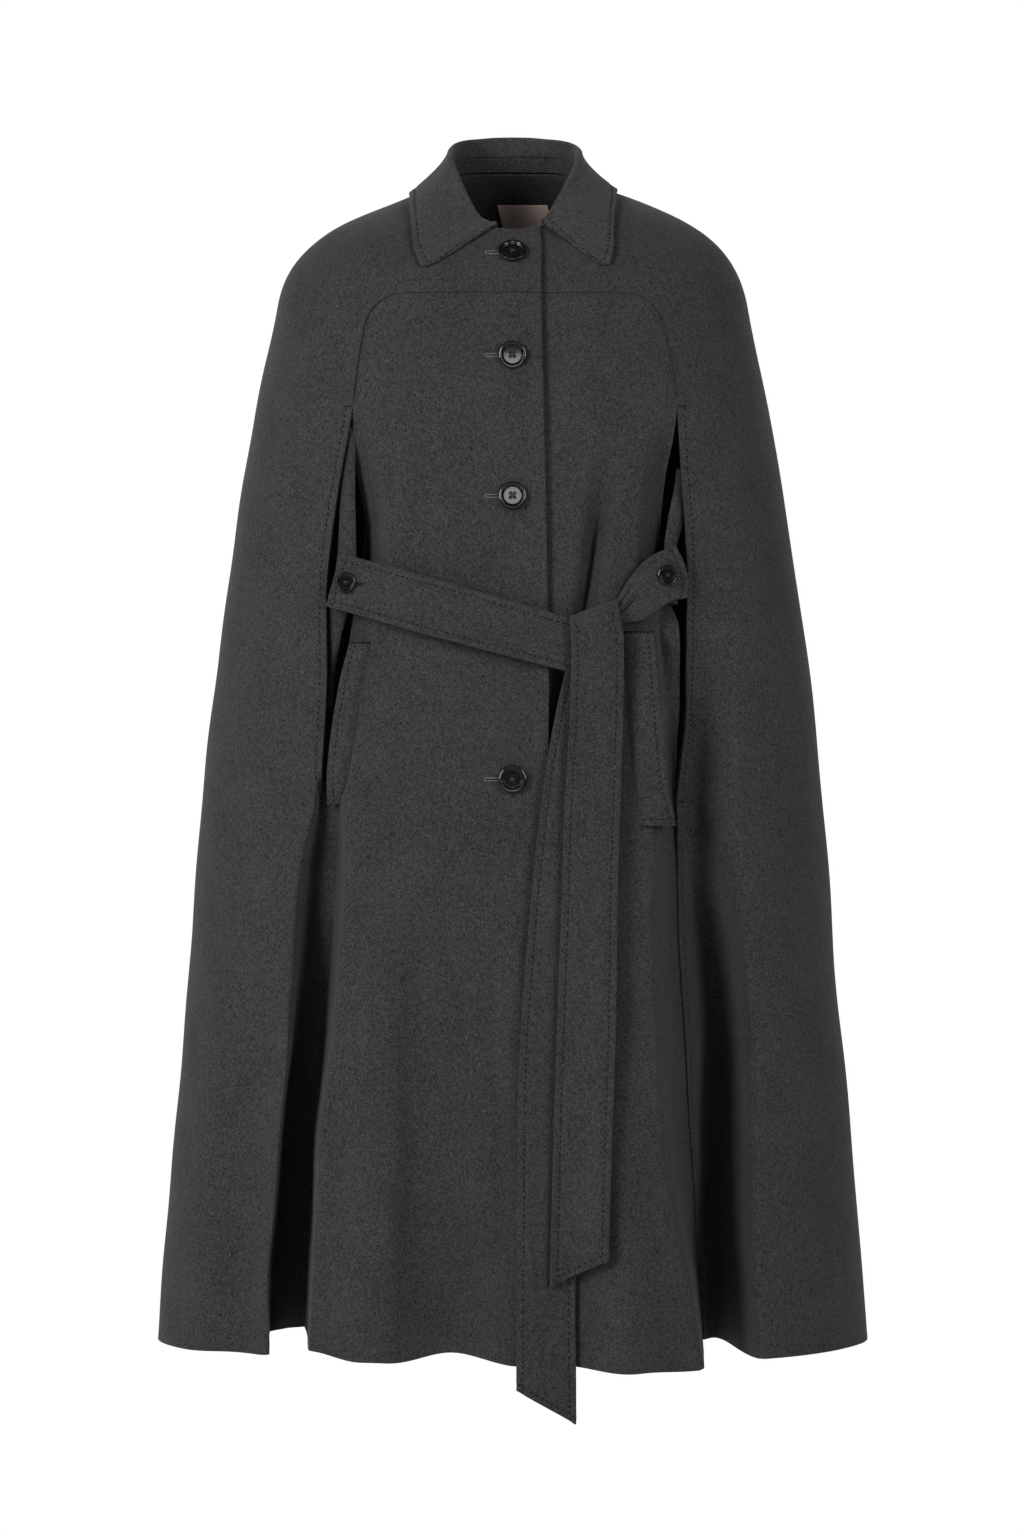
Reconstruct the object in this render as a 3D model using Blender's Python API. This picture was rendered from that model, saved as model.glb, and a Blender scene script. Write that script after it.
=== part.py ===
"""Belted cape coat in charcoal double-faced wool, in its worn shape with no wearer.

Metres, +Z up, front towards -Y, the wearer's left towards +X. The origin is the middle of the neck,
level with the points where the shoulders meet the collar. Heights are given as a drop below it.
"Right" and "left" in the names are the wearer's.
"""

import math
from collections import namedtuple

import bpy
import numpy as np
from mathutils import Vector

for item in list(bpy.data.objects):
    bpy.data.objects.remove(item)

# Cloth and seams
CLOTH = 0.0026  # double-faced wool, thickness of the wall
SEAM_GAP = 0.0003  # between two pieces at a level seam
SEAM_TRIM = 0.0003  # each edge of an upright seam is drawn back this much, as its walls lean together inside
REST_GAP = 0.0006  # between a piece and the cloth it lies on

# Heights, as drops below the shoulder points
YOKE_DROP = 0.118
HEM_DROP = 1.095
YOKE_CORNER_RADIUS = 0.030
HEM_RISE_WIDTH = 0.050
HEM_RISE_START = 0.900
FLOOR_TOP = 0.004  # half width of a valley's floor where it begins

# Level sections of the drape: half its width, and how far it reaches to the front and to the back
Section = namedtuple("Section", "drop half_width front back")
SECTIONS = [
    Section(0.118, 0.2215, 0.120, 0.104),
    Section(0.225, 0.2435, 0.140, 0.124),
    Section(0.400, 0.2705, 0.139, 0.144),
    Section(0.585, 0.2925, 0.149, 0.166),
    Section(0.800, 0.3085, 0.163, 0.190),
    Section(1.095, 0.3325, 0.176, 0.215),
]
OVAL_POWER = 2.3  # 2 is an ellipse, more is squarer

# Neck loop, where the collar stand is sewn on
NECK_HALF_WIDTH = 0.068
NECK_CENTRE_Y = -0.010
NECK_HALF_DEPTH = 0.075
NECK_BACK_RISE = 0.018
NECK_FRONT_DROP = 0.058
NECK_SIDE_RISE = -0.002
SIDE_SEAM_ANGLE = math.radians(98.0)  # of the shoulder and side seam, from the front
FRONT_STEEP_DEG = 58.0  # how steeply the cloth leaves the neck in front, at the back and on each shoulder
BACK_STEEP_DEG = 42.0
RIGHT_STEEP_DEG = 22.0
LEFT_STEEP_DEG = 14.5
NECK_PULL = 0.32  # how far the cloth keeps those slopes, as a share of its way to the yoke
YOKE_PULL = 0.38

# One row for each side: its slit, its seam and the deep valley that the seam hangs in below the slit
Side = namedtuple(
    "Side",
    "sign lap_x yoke_x top_x top_drop foot_x foot_drop hem_x cape_open front_open turn_depth "
    "front_wall_foot front_wall_hem cape_wall_foot cape_wall_hem floor_hem depth_foot depth_hem "
    "hem_rise",
)
RIGHT = Side(
    sign=-1,
    lap_x=0.033,
    yoke_x=0.131,
    top_x=0.1475,
    top_drop=0.225,
    foot_x=0.176,
    foot_drop=0.584,
    hem_x=0.206,
    cape_open=0.0095,
    front_open=0.023,
    turn_depth=0.030,
    front_wall_foot=0.026,
    front_wall_hem=0.018,
    cape_wall_foot=0.012,
    cape_wall_hem=0.026,
    floor_hem=0.010,
    depth_foot=0.014,
    depth_hem=0.140,
    hem_rise=0.010,
)
LEFT = Side(
    sign=1,
    lap_x=0.033,
    yoke_x=0.134,
    top_x=0.1503,
    top_drop=0.225,
    foot_x=0.150,
    foot_drop=0.588,
    hem_x=0.178,
    cape_open=0.0115,
    front_open=0.0185,
    turn_depth=0.026,
    front_wall_foot=0.018,
    front_wall_hem=0.013,
    cape_wall_foot=0.014,
    cape_wall_hem=0.066,
    floor_hem=0.007,
    depth_foot=0.010,
    depth_hem=0.125,
    hem_rise=0.001,
)

# Soft folds of the fronts: where at the hem, how far forward there, half their width, where they begin
# and how much they lift the hem
FrontFold = namedtuple("FrontFold", "x forward half_width start_drop lift")
FRONT_FOLDS = [
    FrontFold(-0.250, -0.026, 0.060, 0.650, 0.000),
    FrontFold(-0.130, 0.006, 0.045, 0.600, 0.002),
    FrontFold(-0.055, -0.028, 0.060, 0.640, 0.007),
    FrontFold(0.012, 0.006, 0.040, 0.600, 0.000),
    FrontFold(0.106, 0.029, 0.062, 0.560, -0.004),
]
# Flutes of the sides and the back: angle from the front, how far out at the hem, half their width and start
Flute = namedtuple("Flute", "angle_deg out half_width_deg start_drop")
FLUTES = [
    Flute(82, 0.003, 16, 0.55),
    Flute(112, -0.014, 15, 0.42),
    Flute(134, 0.016, 16, 0.36),
    Flute(157, -0.020, 15, 0.33),
    Flute(180, 0.016, 15, 0.30),
]

# Front fastening
UNDER_LAP = 0.0043  # how far the left front lies behind the right one at the overlap
UNDER_LAP_HEM = 0.0068  # and at the hem, where the two hang free
OVERLAP_FADE = 0.030  # over which that step runs out beside the front edge
YOKE_BUTTON_DROP = 0.079
BUTTON_DROPS = (0.180, 0.309, 0.438, 0.567)
BUTTON_RADIUS = 0.0127
ButtonRing = namedtuple("ButtonRing", "out height")
BUTTON_PROFILE = [
    ButtonRing(0.78, 0.0),
    ButtonRing(1.00, 0.0012),
    ButtonRing(1.00, 0.0030),
    ButtonRing(0.90, 0.0040),
    ButtonRing(0.72, 0.0038),
    ButtonRing(0.56, 0.0022),
]
BUTTON_STEPS = 18
BELT_BUTTON_RADIUS = 0.0095

# Collar, as shares of the way round the neck loop and down the shoulder cloth
COLLAR_RIGHT_END_DEG = 12.5  # on the neck loop, from the front
COLLAR_LEFT_END_DEG = 25.0
STAND_FOOT = 0.0019  # above the neck loop
STAND_HEIGHT = 0.016
STAND_END_HEIGHT = 0.0052
ROLL_HEIGHT = 0.0285
ROLL_BACK_EXTRA = 0.003
ROLL_LEAN = 0.0145  # the roll stands this far inside the neck loop at the sides
ROLL_BACK_LEAN = 0.006
ROLL_END_HEIGHT = 0.0075
ROLL_OPEN_DEG = 75.0  # where the roll has reached its full height
ROLL_RADIUS = 0.0055
ROLL_END_RADIUS = 0.0036
COLLAR_CLEARANCE = 0.0038
# Its outer edge: share of the way from the front end to the centre back, angle on the ring at the yoke
# and share of the way from the neck loop down to that ring
CollarEdge = namedtuple("CollarEdge", "share ring_deg t")
COLLAR_EDGE = [
    CollarEdge(0.00, 19.1, 0.732),
    CollarEdge(0.10, 24.8, 0.565),
    CollarEdge(0.22, 36.5, 0.350),
    CollarEdge(0.33, 56.4, 0.200),
    CollarEdge(0.46, 84.0, 0.140),
    CollarEdge(0.64, 118.0, 0.160),
    CollarEdge(1.00, 180.0, 0.205),
]
COLLAR_HALF_COLUMNS = 13
COLLAR_LEAF_ROWS = 6

# Belt: middle line, width and distance from the fronts at each end of the two bands and along the tails
BELT_CLOTH = 0.0030
Band = namedtuple("Band", "x drop width out")
BAND_RIGHT = [
    Band(-0.163, 0.3846, 0.050, 0.0040),
    Band(-0.080, 0.4075, 0.052, 0.0080),
    Band(0.070, 0.4485, 0.050, 0.0080),
]
BAND_LEFT = [
    Band(0.157, 0.3775, 0.046, 0.0040),
    Band(0.122, 0.3985, 0.040, 0.0080),
    Band(0.101, 0.4125, 0.024, 0.0080),
    Band(0.086, 0.4255, 0.018, 0.0080),
]
# A tail's slant is how much higher its left edge is than its right one
Tail = namedtuple("Tail", "x drop width out slant")
TAIL_SHORT = [
    Tail(0.0745, 0.4400, 0.040, 0.0022, 0.014),
    Tail(0.0745, 0.4090, 0.042, 0.0024, 0.016),
    Tail(0.0745, 0.4015, 0.043, 0.0085, 0.016),
    Tail(0.0750, 0.4130, 0.044, 0.0140, 0.014),
    Tail(0.0775, 0.4400, 0.047, 0.0146, 0.006),
    Tail(0.0765, 0.5000, 0.048, 0.0125, 0.000),
    Tail(0.0720, 0.6000, 0.050, 0.0110, 0.000),
    Tail(0.0660, 0.8000, 0.052, 0.0105, 0.000),
    Tail(0.0620, 0.9300, 0.052, 0.0105, 0.000),
    Tail(0.0600, 1.0100, 0.052, 0.0105, 0.026),
]
TAIL_LONG = [
    Tail(0.0690, 0.4640, 0.040, 0.0038, 0.000),
    Tail(0.0600, 0.5130, 0.044, 0.0040, 0.000),
    Tail(0.0520, 0.5760, 0.048, 0.0044, 0.000),
    Tail(0.0422, 0.6760, 0.051, 0.0044, 0.000),
    Tail(0.0315, 0.8570, 0.053, 0.0044, 0.000),
    Tail(0.0300, 1.0500, 0.053, 0.0044, 0.000),
    Tail(0.0300, 1.1310, 0.053, 0.0044, -0.031),
]
TAIL_LEVEL_DROP = 0.440  # above this the wrap over the knot keeps its distance from one level of the fronts
BAND_COLUMNS = 11
BAND_ROWS = 3
TAIL_ROWS = 25
BeltButton = namedtuple("BeltButton", "x drop")
BELT_BUTTON_RIGHT = BeltButton(-0.1517, 0.3872)
BELT_BUTTON_LEFT = BeltButton(0.1430, 0.3850)

# Pocket welts: inner edge on the front at the top and at the foot
Welt = namedtuple("Welt", "top_drop foot_drop top_x foot_x top_width foot_width")
WELT_ROWS = 9
WELT_COLUMNS = 4
WELT_GAP = 0.0018
WELT_RIGHT = Welt(0.441, 0.583, 0.126, 0.147, 0.027, 0.024)
WELT_LEFT = Welt(0.441, 0.612, 0.1057, 0.114, 0.0265, 0.028)

# Stays inside the slits, where the belt's ends button on
Stay = namedtuple("Stay", "width inset inset_share outset recess recess_mid")
STAY_ROWS = 12
STAY_RIGHT = Stay(0.016, 0.0030, 0.40, 0.006, 0.036, 0.011)
STAY_LEFT = Stay(0.014, -0.0010, 0.50, 0.002, 0.034, 0.012)

# Blank label inside the back of the neck
LABEL_X = (-0.015, 0.034)
LABEL_T = (0.24, 0.52)
LABEL_CLOTH = 0.0010
LABEL_GAP = 0.0010
LABEL_ROWS = 5
LABEL_COLUMNS = 6

# Rows and columns of the cut pieces
FINE = 240  # points along a section before its columns are spaced
FRONT_COLUMNS = (10, 4, 1)  # face, wall of the valley, its floor
CAPE_COLUMNS = (1, 4, 9)
BACK_COLUMNS = (11,)
YOKE_COLUMNS = 7
SHOULDER_ROWS = 8
CORNER_ROWS = 3
CHEST_ROWS = 2
SLIT_ROWS = 7
SKIRT_ROWS = 8
BACK_ROWS = 15

WOOL = (0.047, 0.047, 0.046)
HORN = (0.012, 0.012, 0.013)
SATIN = (0.62, 0.45, 0.40)


def smooth(t):
    """0 below 0, 1 above 1, and an even S between."""
    t = np.clip(t, 0.0, 1.0)
    return t * t * (3.0 - 2.0 * t)


def bump(q):
    """A round hump, 1 at 0 and gone at plus and minus 1."""
    return np.where(np.abs(q) < 1.0, 0.5 + 0.5 * np.cos(np.pi * np.clip(q, -1.0, 1.0)), 0.0)


def through(at, knots, values):
    """A smooth curve through a table's rows that never swings past them."""
    knots = np.asarray(knots, float)
    values = np.asarray(values, float)
    step = np.diff(knots)
    rise = np.diff(values) / step
    product = rise[:-1] * rise[1:]
    total = np.where(product > 0.0, rise[:-1] + rise[1:], 1.0)
    slope = np.concatenate([rise[:1], np.where(product > 0.0, 2.0 * product / total, 0.0), rise[-1:]])
    i = np.clip(np.searchsorted(knots, at) - 1, 0, len(step) - 1)
    t = np.clip((np.asarray(at, float) - knots[i]) / step[i], 0.0, 1.0)
    start = values[i] * (1.0 + 2.0 * t) * (1.0 - t) ** 2 + values[i + 1] * t * t * (3.0 - 2.0 * t)
    return start + step[i] * (slope[i] * t * (1.0 - t) ** 2 - slope[i + 1] * t * t * (1.0 - t))


def section(drop, field):
    return through(drop, [row.drop for row in SECTIONS], [getattr(row, field) for row in SECTIONS])


def oval(angle, drop):
    """A point of the plain drape: a squarish oval at each height. The angle runs from the front to +X."""
    across = np.sin(angle)
    ahead = np.cos(angle)
    x = section(drop, "half_width") * np.sign(across) * np.abs(across) ** (2.0 / OVAL_POWER)
    reach = np.where(ahead > 0.0, -section(drop, "front"), section(drop, "back"))
    y = reach * np.abs(ahead) ** (2.0 / OVAL_POWER)
    return np.stack(np.broadcast_arrays(x, y, -np.asarray(drop, float)), axis=-1)


def angle_of(x, drop):
    """The angle at which the front half of the oval reaches x."""
    share = np.clip(np.abs(x) / section(drop, "half_width"), 0.0, 1.0)
    return np.sign(x) * np.arcsin(share ** (OVAL_POWER / 2.0))


def growth(drop, start_drop):
    return smooth((drop - start_drop) / (HEM_DROP - start_drop))


def drape(angle, drop):
    """The plain oval with its soft folds, front and back."""
    point = oval(angle, drop)
    spread = section(drop, "half_width") / SECTIONS[-1].half_width
    for fold in FRONT_FOLDS:
        near = bump((point[..., 0] / spread - fold.x) / fold.half_width) * (np.cos(angle) > 0.0)
        point[..., 1] -= fold.forward * growth(drop, fold.start_drop) * near
        point[..., 2] += fold.lift * growth(drop, HEM_RISE_START) * near
    for flute in FLUTES:
        near = bump((np.degrees(np.abs(angle)) - flute.angle_deg) / flute.half_width_deg)
        out = flute.out * growth(drop, flute.start_drop) * near
        point[..., 0] += out * np.sin(angle)
        point[..., 1] -= out * np.cos(angle)
    return point


def seam_x(side, drop):
    """How far from the middle the seam, or the slit in it, runs: down from the yoke's rounded corner."""
    line = through(
        drop,
        [YOKE_DROP, side.top_drop, side.foot_drop, HEM_DROP],
        [side.yoke_x, side.top_x, side.foot_x, side.hem_x],
    )
    radius = YOKE_CORNER_RADIUS
    rest = np.clip(radius - (drop - YOKE_DROP), 0.0, radius)
    return line - (radius - np.sqrt(radius * radius - rest * rest))


def slit_share(side, drop):
    """0 at the slit's top, 1 at its foot."""
    return np.clip((drop - side.top_drop) / (side.foot_drop - side.top_drop), 0.0, 1.0)


def below_share(side, drop):
    """0 at the slit's foot, 1 at the hem, quick at first."""
    t = np.clip((drop - side.foot_drop) / (HEM_DROP - side.foot_drop), 0.0, 1.0)
    return (2.0 * t - t * t) * smooth(t / 0.15)


def front_edge_x(side, drop):
    return seam_x(side, drop - SEAM_GAP) - side.front_open * np.sin(np.pi * slit_share(side, drop) ** 0.75)


def cape_edge_x(side, drop):
    return seam_x(side, drop) + side.cape_open * np.sin(np.pi * slit_share(side, drop) ** 0.85)


def floor_width(side, drop):
    return FLOOR_TOP + (side.floor_hem - FLOOR_TOP) * below_share(side, drop)


def front_wall(side, drop):
    return side.front_wall_foot + (side.front_wall_hem - side.front_wall_foot) * below_share(side, drop)


def cape_wall(side, drop):
    return side.cape_wall_foot + (side.cape_wall_hem - side.cape_wall_foot) * below_share(side, drop)


def set_back(side, away, wall, drop):
    """How far cloth beside the seam is drawn back: a wall that ends on a narrow floor at the seam."""
    depth = side.depth_foot * smooth(slit_share(side, drop) / 0.9)
    depth = depth + (side.depth_hem - side.depth_foot) * below_share(side, drop)
    return depth * (1.0 - smooth((away - floor_width(side, drop)) / wall))


def turned_edge(side, away, wall, drop):
    """How far the front's edge is turned in along the slit."""
    depth = side.turn_depth * np.sin(np.pi * slit_share(side, drop))
    return depth * (1.0 - smooth((away - floor_width(side, drop)) / wall))


def hem_lift(side, away, drop):
    """The hem is a little shorter in the valley than on the folds beside it."""
    return side.hem_rise * bump(away / HEM_RISE_WIDTH) * growth(drop, HEM_RISE_START)


def under_lap(x, drop):
    """How far the left front and its yoke lie behind the right ones."""
    step = UNDER_LAP + (UNDER_LAP_HEM - UNDER_LAP) * growth(drop, YOKE_DROP)
    return step * (1.0 - smooth((x - LEFT.lap_x) / OVERLAP_FADE))


def lengths(line):
    return np.concatenate([[0.0], np.cumsum(np.linalg.norm(np.diff(line, axis=0), axis=1))])


def spaced(line, marks, counts, trim):
    """The line as columns: evenly spaced between marks along it, its ends trimmed back for the seams."""
    along = lengths(line)
    marks = np.concatenate([[trim], marks, [along[-1] - trim]])
    runs = [np.linspace(marks[k], marks[k + 1], n, endpoint=False) for k, n in enumerate(counts)]
    at = np.concatenate(runs + [marks[-1:]])
    return np.stack([np.interp(at, along, line[:, k]) for k in range(3)], axis=-1)


def front_line(side, drop):
    """A level section of one front, from its overlap edge to the slit or seam."""
    edge = front_edge_x(side, drop)
    angle = np.linspace(angle_of(-side.sign * side.lap_x, drop), angle_of(side.sign * edge, drop), FINE)
    line = drape(angle, drop)
    away = edge - line[:, 0] * side.sign
    wall = front_wall(side, drop)
    line[:, 1] += set_back(side, away, wall, drop) + turned_edge(side, away, wall, drop)
    line[:, 2] += hem_lift(side, away, drop)
    if side.sign > 0:
        line[:, 1] += under_lap(line[:, 0], drop)
    return line


def front_columns(side, drop):
    line = front_line(side, drop)
    foot = front_edge_x(side, drop) - floor_width(side, drop)
    marks = np.interp([foot - front_wall(side, drop), foot], line[:, 0] * side.sign, lengths(line))
    return spaced(line, marks, FRONT_COLUMNS, SEAM_TRIM)


def cape_line(side, drop):
    """A level section of one cape side, from the slit or seam to the side seam."""
    edge = cape_edge_x(side, drop)
    angle = np.linspace(angle_of(side.sign * edge, drop), side.sign * SIDE_SEAM_ANGLE, FINE)
    line = drape(angle, drop)
    away = np.where(np.cos(angle) > 0.0, line[:, 0] * side.sign - edge, 1.0)
    line[:, 1] += set_back(side, away, cape_wall(side, drop), drop)
    line[:, 2] += hem_lift(side, away, drop)
    return line


def cape_columns(side, drop, trim=SEAM_TRIM):
    line = cape_line(side, drop)
    foot = cape_edge_x(side, drop) + floor_width(side, drop)
    half = FINE // 2
    marks = np.interp([foot, foot + cape_wall(side, drop)], line[:half, 0] * side.sign, lengths(line)[:half])
    return spaced(line, marks, CAPE_COLUMNS, trim)


def back_columns(side, drop, trim=SEAM_TRIM):
    """A level section of one back half, from the side seam to the centre back."""
    angle = np.linspace(side.sign * SIDE_SEAM_ANGLE, side.sign * math.pi, FINE)
    return spaced(drape(angle, drop), [], BACK_COLUMNS, trim)


def levels(side):
    """Heights of the rows from the yoke seam to the hem, close together at the rounded corner."""
    turn = np.linspace(0.0, np.pi / 2.0, CORNER_ROWS, endpoint=False)
    corner = YOKE_DROP + YOKE_CORNER_RADIUS * (1.0 - np.cos(turn))
    chest = np.linspace(YOKE_DROP + YOKE_CORNER_RADIUS, side.top_drop, CHEST_ROWS, endpoint=False)
    slit = np.linspace(side.top_drop, side.foot_drop, SLIT_ROWS, endpoint=False)
    skirt = side.foot_drop + (HEM_DROP - side.foot_drop) * np.linspace(0.0, 1.0, SKIRT_ROWS) ** 1.25
    return np.concatenate([corner, chest, slit, skirt])


def neck(angle):
    """The neck loop: low in front, high at the back."""
    mean = (NECK_BACK_RISE - NECK_FRONT_DROP) / 2.0
    swing = (NECK_BACK_RISE + NECK_FRONT_DROP) / 2.0
    sway = (mean - NECK_SIDE_RISE) / 2.0
    x = NECK_HALF_WIDTH * np.sin(angle)
    y = NECK_CENTRE_Y - NECK_HALF_DEPTH * np.cos(angle)
    z = mean - sway - swing * np.cos(angle) + sway * np.cos(2.0 * angle)
    return np.stack([x, y, z], axis=-1)


RING_KNOTS = [0.0, float(angle_of(0.033, YOKE_DROP)), float(angle_of(0.104, YOKE_DROP)), SIDE_SEAM_ANGLE, math.pi]
NECK_KNOTS = [0.0, math.radians(24.0), math.radians(42.0), SIDE_SEAM_ANGLE, math.pi]


def neck_above(ring_angle):
    """The neck angle that each angle of the level ring at the yoke is joined to."""
    return np.sign(ring_angle) * through(np.abs(ring_angle), RING_KNOTS, NECK_KNOTS)


def ring_below(neck_angle):
    return np.sign(neck_angle) * through(np.abs(neck_angle), NECK_KNOTS, RING_KNOTS)


def shoulder(ring_angle, t):
    """Cloth from the neck loop (t = 0) over the shoulder to the level ring at the yoke (t = 1).

    Each curve leaves the neck outwards, gently down on the shoulder and steeply in front and behind,
    and meets the ring in the direction in which the cloth goes on below it.
    """
    at_neck = neck_above(ring_angle)
    start = neck(at_neck)
    ring = drape(ring_angle, YOKE_DROP)
    below = drape(ring_angle, YOKE_DROP + 0.010)
    ahead = np.cos(at_neck)
    most = np.where(ahead > 0.0, FRONT_STEEP_DEG, BACK_STEEP_DEG)
    least = np.where(ring_angle > 0.0, LEFT_STEEP_DEG, RIGHT_STEEP_DEG)
    steep = np.radians(least + (most - least) * ahead**2)
    outward = np.stack([np.sin(at_neck) * np.cos(steep), -ahead * np.cos(steep), -np.sin(steep)], axis=-1)
    upward = (ring - below) / np.linalg.norm(ring - below, axis=-1, keepdims=True)
    reach = np.linalg.norm(ring - start, axis=-1, keepdims=True)
    first = start + outward * NECK_PULL * reach
    second = ring + upward * YOKE_PULL * reach
    t = np.asarray(t, float)[..., None]
    early = start * (1.0 - t) ** 3 + first * 3.0 * t * (1.0 - t) ** 2
    return early + second * 3.0 * t * t * (1.0 - t) + ring * t**3


def shoulder_out(ring_angle, t, distance):
    """A point at a distance outside the shoulder cloth."""
    ring_angle, t = np.broadcast_arrays(ring_angle, t)
    small = 0.002
    along = shoulder(ring_angle + small, t) - shoulder(ring_angle - small, t)
    down = shoulder(ring_angle, t + small) - shoulder(ring_angle, t - small)
    normal = np.cross(down, along)
    normal = normal / np.linalg.norm(normal, axis=-1, keepdims=True)
    return shoulder(ring_angle, t) + normal * np.asarray(distance, float)[..., None]


def trim_ends(grid):
    """Both end columns drawn in along their rows, so that the next piece clears them."""
    first = grid[:, 1] - grid[:, 0]
    last = grid[:, -2] - grid[:, -1]
    grid[:, 0] += first / np.linalg.norm(first, axis=-1, keepdims=True) * SEAM_TRIM
    grid[:, -1] += last / np.linalg.norm(last, axis=-1, keepdims=True) * SEAM_TRIM
    return grid


def ring_angles(points):
    """Angles of points on the level ring at the yoke."""
    reach = np.where(points[:, 1] < 0.0, section(YOKE_DROP, "front"), section(YOKE_DROP, "back"))
    ahead = -np.sign(points[:, 1]) * (np.abs(points[:, 1]) / reach) ** (OVAL_POWER / 2.0)
    return np.sign(points[:, 0]) * np.arccos(np.clip(ahead, -1.0, 1.0))


def shoulder_grid(angles, ring):
    """Rows from the neck loop to the ring, which is the first row of the cloth below."""
    grid = trim_ends(shoulder(angles[None, :], np.linspace(0.0, 1.0, SHOULDER_ROWS)[:, None]))
    grid[-1, len(angles) - len(ring) :] = ring
    return grid


def cape_shoulder(side, ring):
    """The part of a cape side above the yoke seam: the yoke and the shoulder in one."""
    past = ring_angles(cape_columns(side, YOKE_DROP, 0.0))
    over = np.linspace(angle_of(-side.sign * side.lap_x, YOKE_DROP), past[0], YOKE_COLUMNS, endpoint=False)
    grid = shoulder_grid(np.concatenate([over, past]), ring)
    if side.sign > 0:
        grid[..., 1] += under_lap(grid[..., 0], YOKE_DROP)
    return grid


def front_face(x, drop):
    """The outer face of the closed fronts, folds included: what the belt and its tails lie on."""
    drop = np.minimum(drop, HEM_DROP)
    return drape(angle_of(x, drop), drop)[..., 1] - CLOTH / 2.0


COAT = bpy.data.objects.new("cape_coat", None)
bpy.context.scene.collection.objects.link(COAT)


def make_material(name, colour, roughness):
    material = bpy.data.materials.new(name)
    material.use_nodes = True
    shader = material.node_tree.nodes["Principled BSDF"]
    shader.inputs["Base Color"].default_value = (*colour, 1.0)
    shader.inputs["Roughness"].default_value = roughness
    shader.inputs["Metallic"].default_value = 0.0
    return material


CHARCOAL_WOOL = make_material("charcoal_wool", WOOL, 0.95)
DARK_HORN = make_material("dark_horn", HORN, 0.25)
LABEL_SATIN = make_material("label_satin", SATIN, 0.55)


def add_object(name, mesh, material):
    obj = bpy.data.objects.new(name, mesh)
    bpy.context.scene.collection.objects.link(obj)
    obj.parent = COAT
    mesh.materials.append(material)
    mesh.shade_smooth()
    return obj


def cloth(name, blocks, thickness=CLOTH, material=CHARCOAL_WOOL):
    """One cut piece: grids of points that share an edge are joined, and given the cloth's thickness."""
    points = []
    faces = []
    index = {}
    for grid in blocks:
        rows, columns = grid.shape[:2]
        ids = np.empty((rows, columns), int)
        for r in range(rows):
            for c in range(columns):
                key = tuple(np.round(grid[r, c], 5))
                if key not in index:
                    index[key] = len(points)
                    points.append(tuple(grid[r, c]))
                ids[r, c] = index[key]
        for r in range(rows - 1):
            for c in range(columns - 1):
                faces.append((ids[r, c], ids[r, c + 1], ids[r + 1, c + 1], ids[r + 1, c]))
    mesh = bpy.data.meshes.new(name)
    mesh.from_pydata(points, [], faces)
    obj = add_object(name, mesh, material)
    wall = obj.modifiers.new("wall", "SOLIDIFY")
    wall.thickness = thickness
    wall.offset = 0.0
    return obj


def front_grid(side):
    rows = levels(side)
    rows[:CORNER_ROWS] += SEAM_GAP
    return np.stack([front_columns(side, drop) for drop in rows])


def make_fronts():
    for name, side in (("front_right", RIGHT), ("front_left", LEFT)):
        cloth(name, [front_grid(side)])


def make_cape_sides():
    for name, side in (("cape_side_right", RIGHT), ("cape_side_left", LEFT)):
        lower = np.stack([cape_columns(side, drop) for drop in levels(side)])
        cloth(name, [cape_shoulder(side, lower[0]), lower])


def make_backs():
    for name, side in (("back_right", RIGHT), ("back_left", LEFT)):
        rows = np.linspace(YOKE_DROP, HEM_DROP, BACK_ROWS)
        lower = np.stack([back_columns(side, drop) for drop in rows])
        upper = shoulder_grid(ring_angles(back_columns(side, YOKE_DROP, 0.0)), lower[0])
        cloth(name, [np.concatenate([upper[:-1], lower])])


make_fronts()
make_cape_sides()
make_backs()


def collar_columns():
    """Columns of the collar from its right end round the back to its left end.

    Gives for each one its neck angle, how far the roll has opened, and the point of the outer edge.
    """
    shares = np.linspace(0.0, 1.0, COLLAR_HALF_COLUMNS)
    knots = [row.share for row in COLLAR_EDGE]
    edge_ring = np.radians(through(shares, knots, [row.ring_deg for row in COLLAR_EDGE]))
    edge_t = through(shares, knots, [row.t for row in COLLAR_EDGE])
    halves = []
    for sign, end in ((-1, COLLAR_RIGHT_END_DEG), (1, COLLAR_LEFT_END_DEG)):
        degrees = end + (180.0 - end) * shares
        opened = smooth((degrees - end) / (ROLL_OPEN_DEG - end))
        halves.append(np.stack([sign * np.radians(degrees), opened, sign * edge_ring, edge_t]))
    return np.concatenate([halves[0], halves[1][:, -2::-1]], axis=1)


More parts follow.
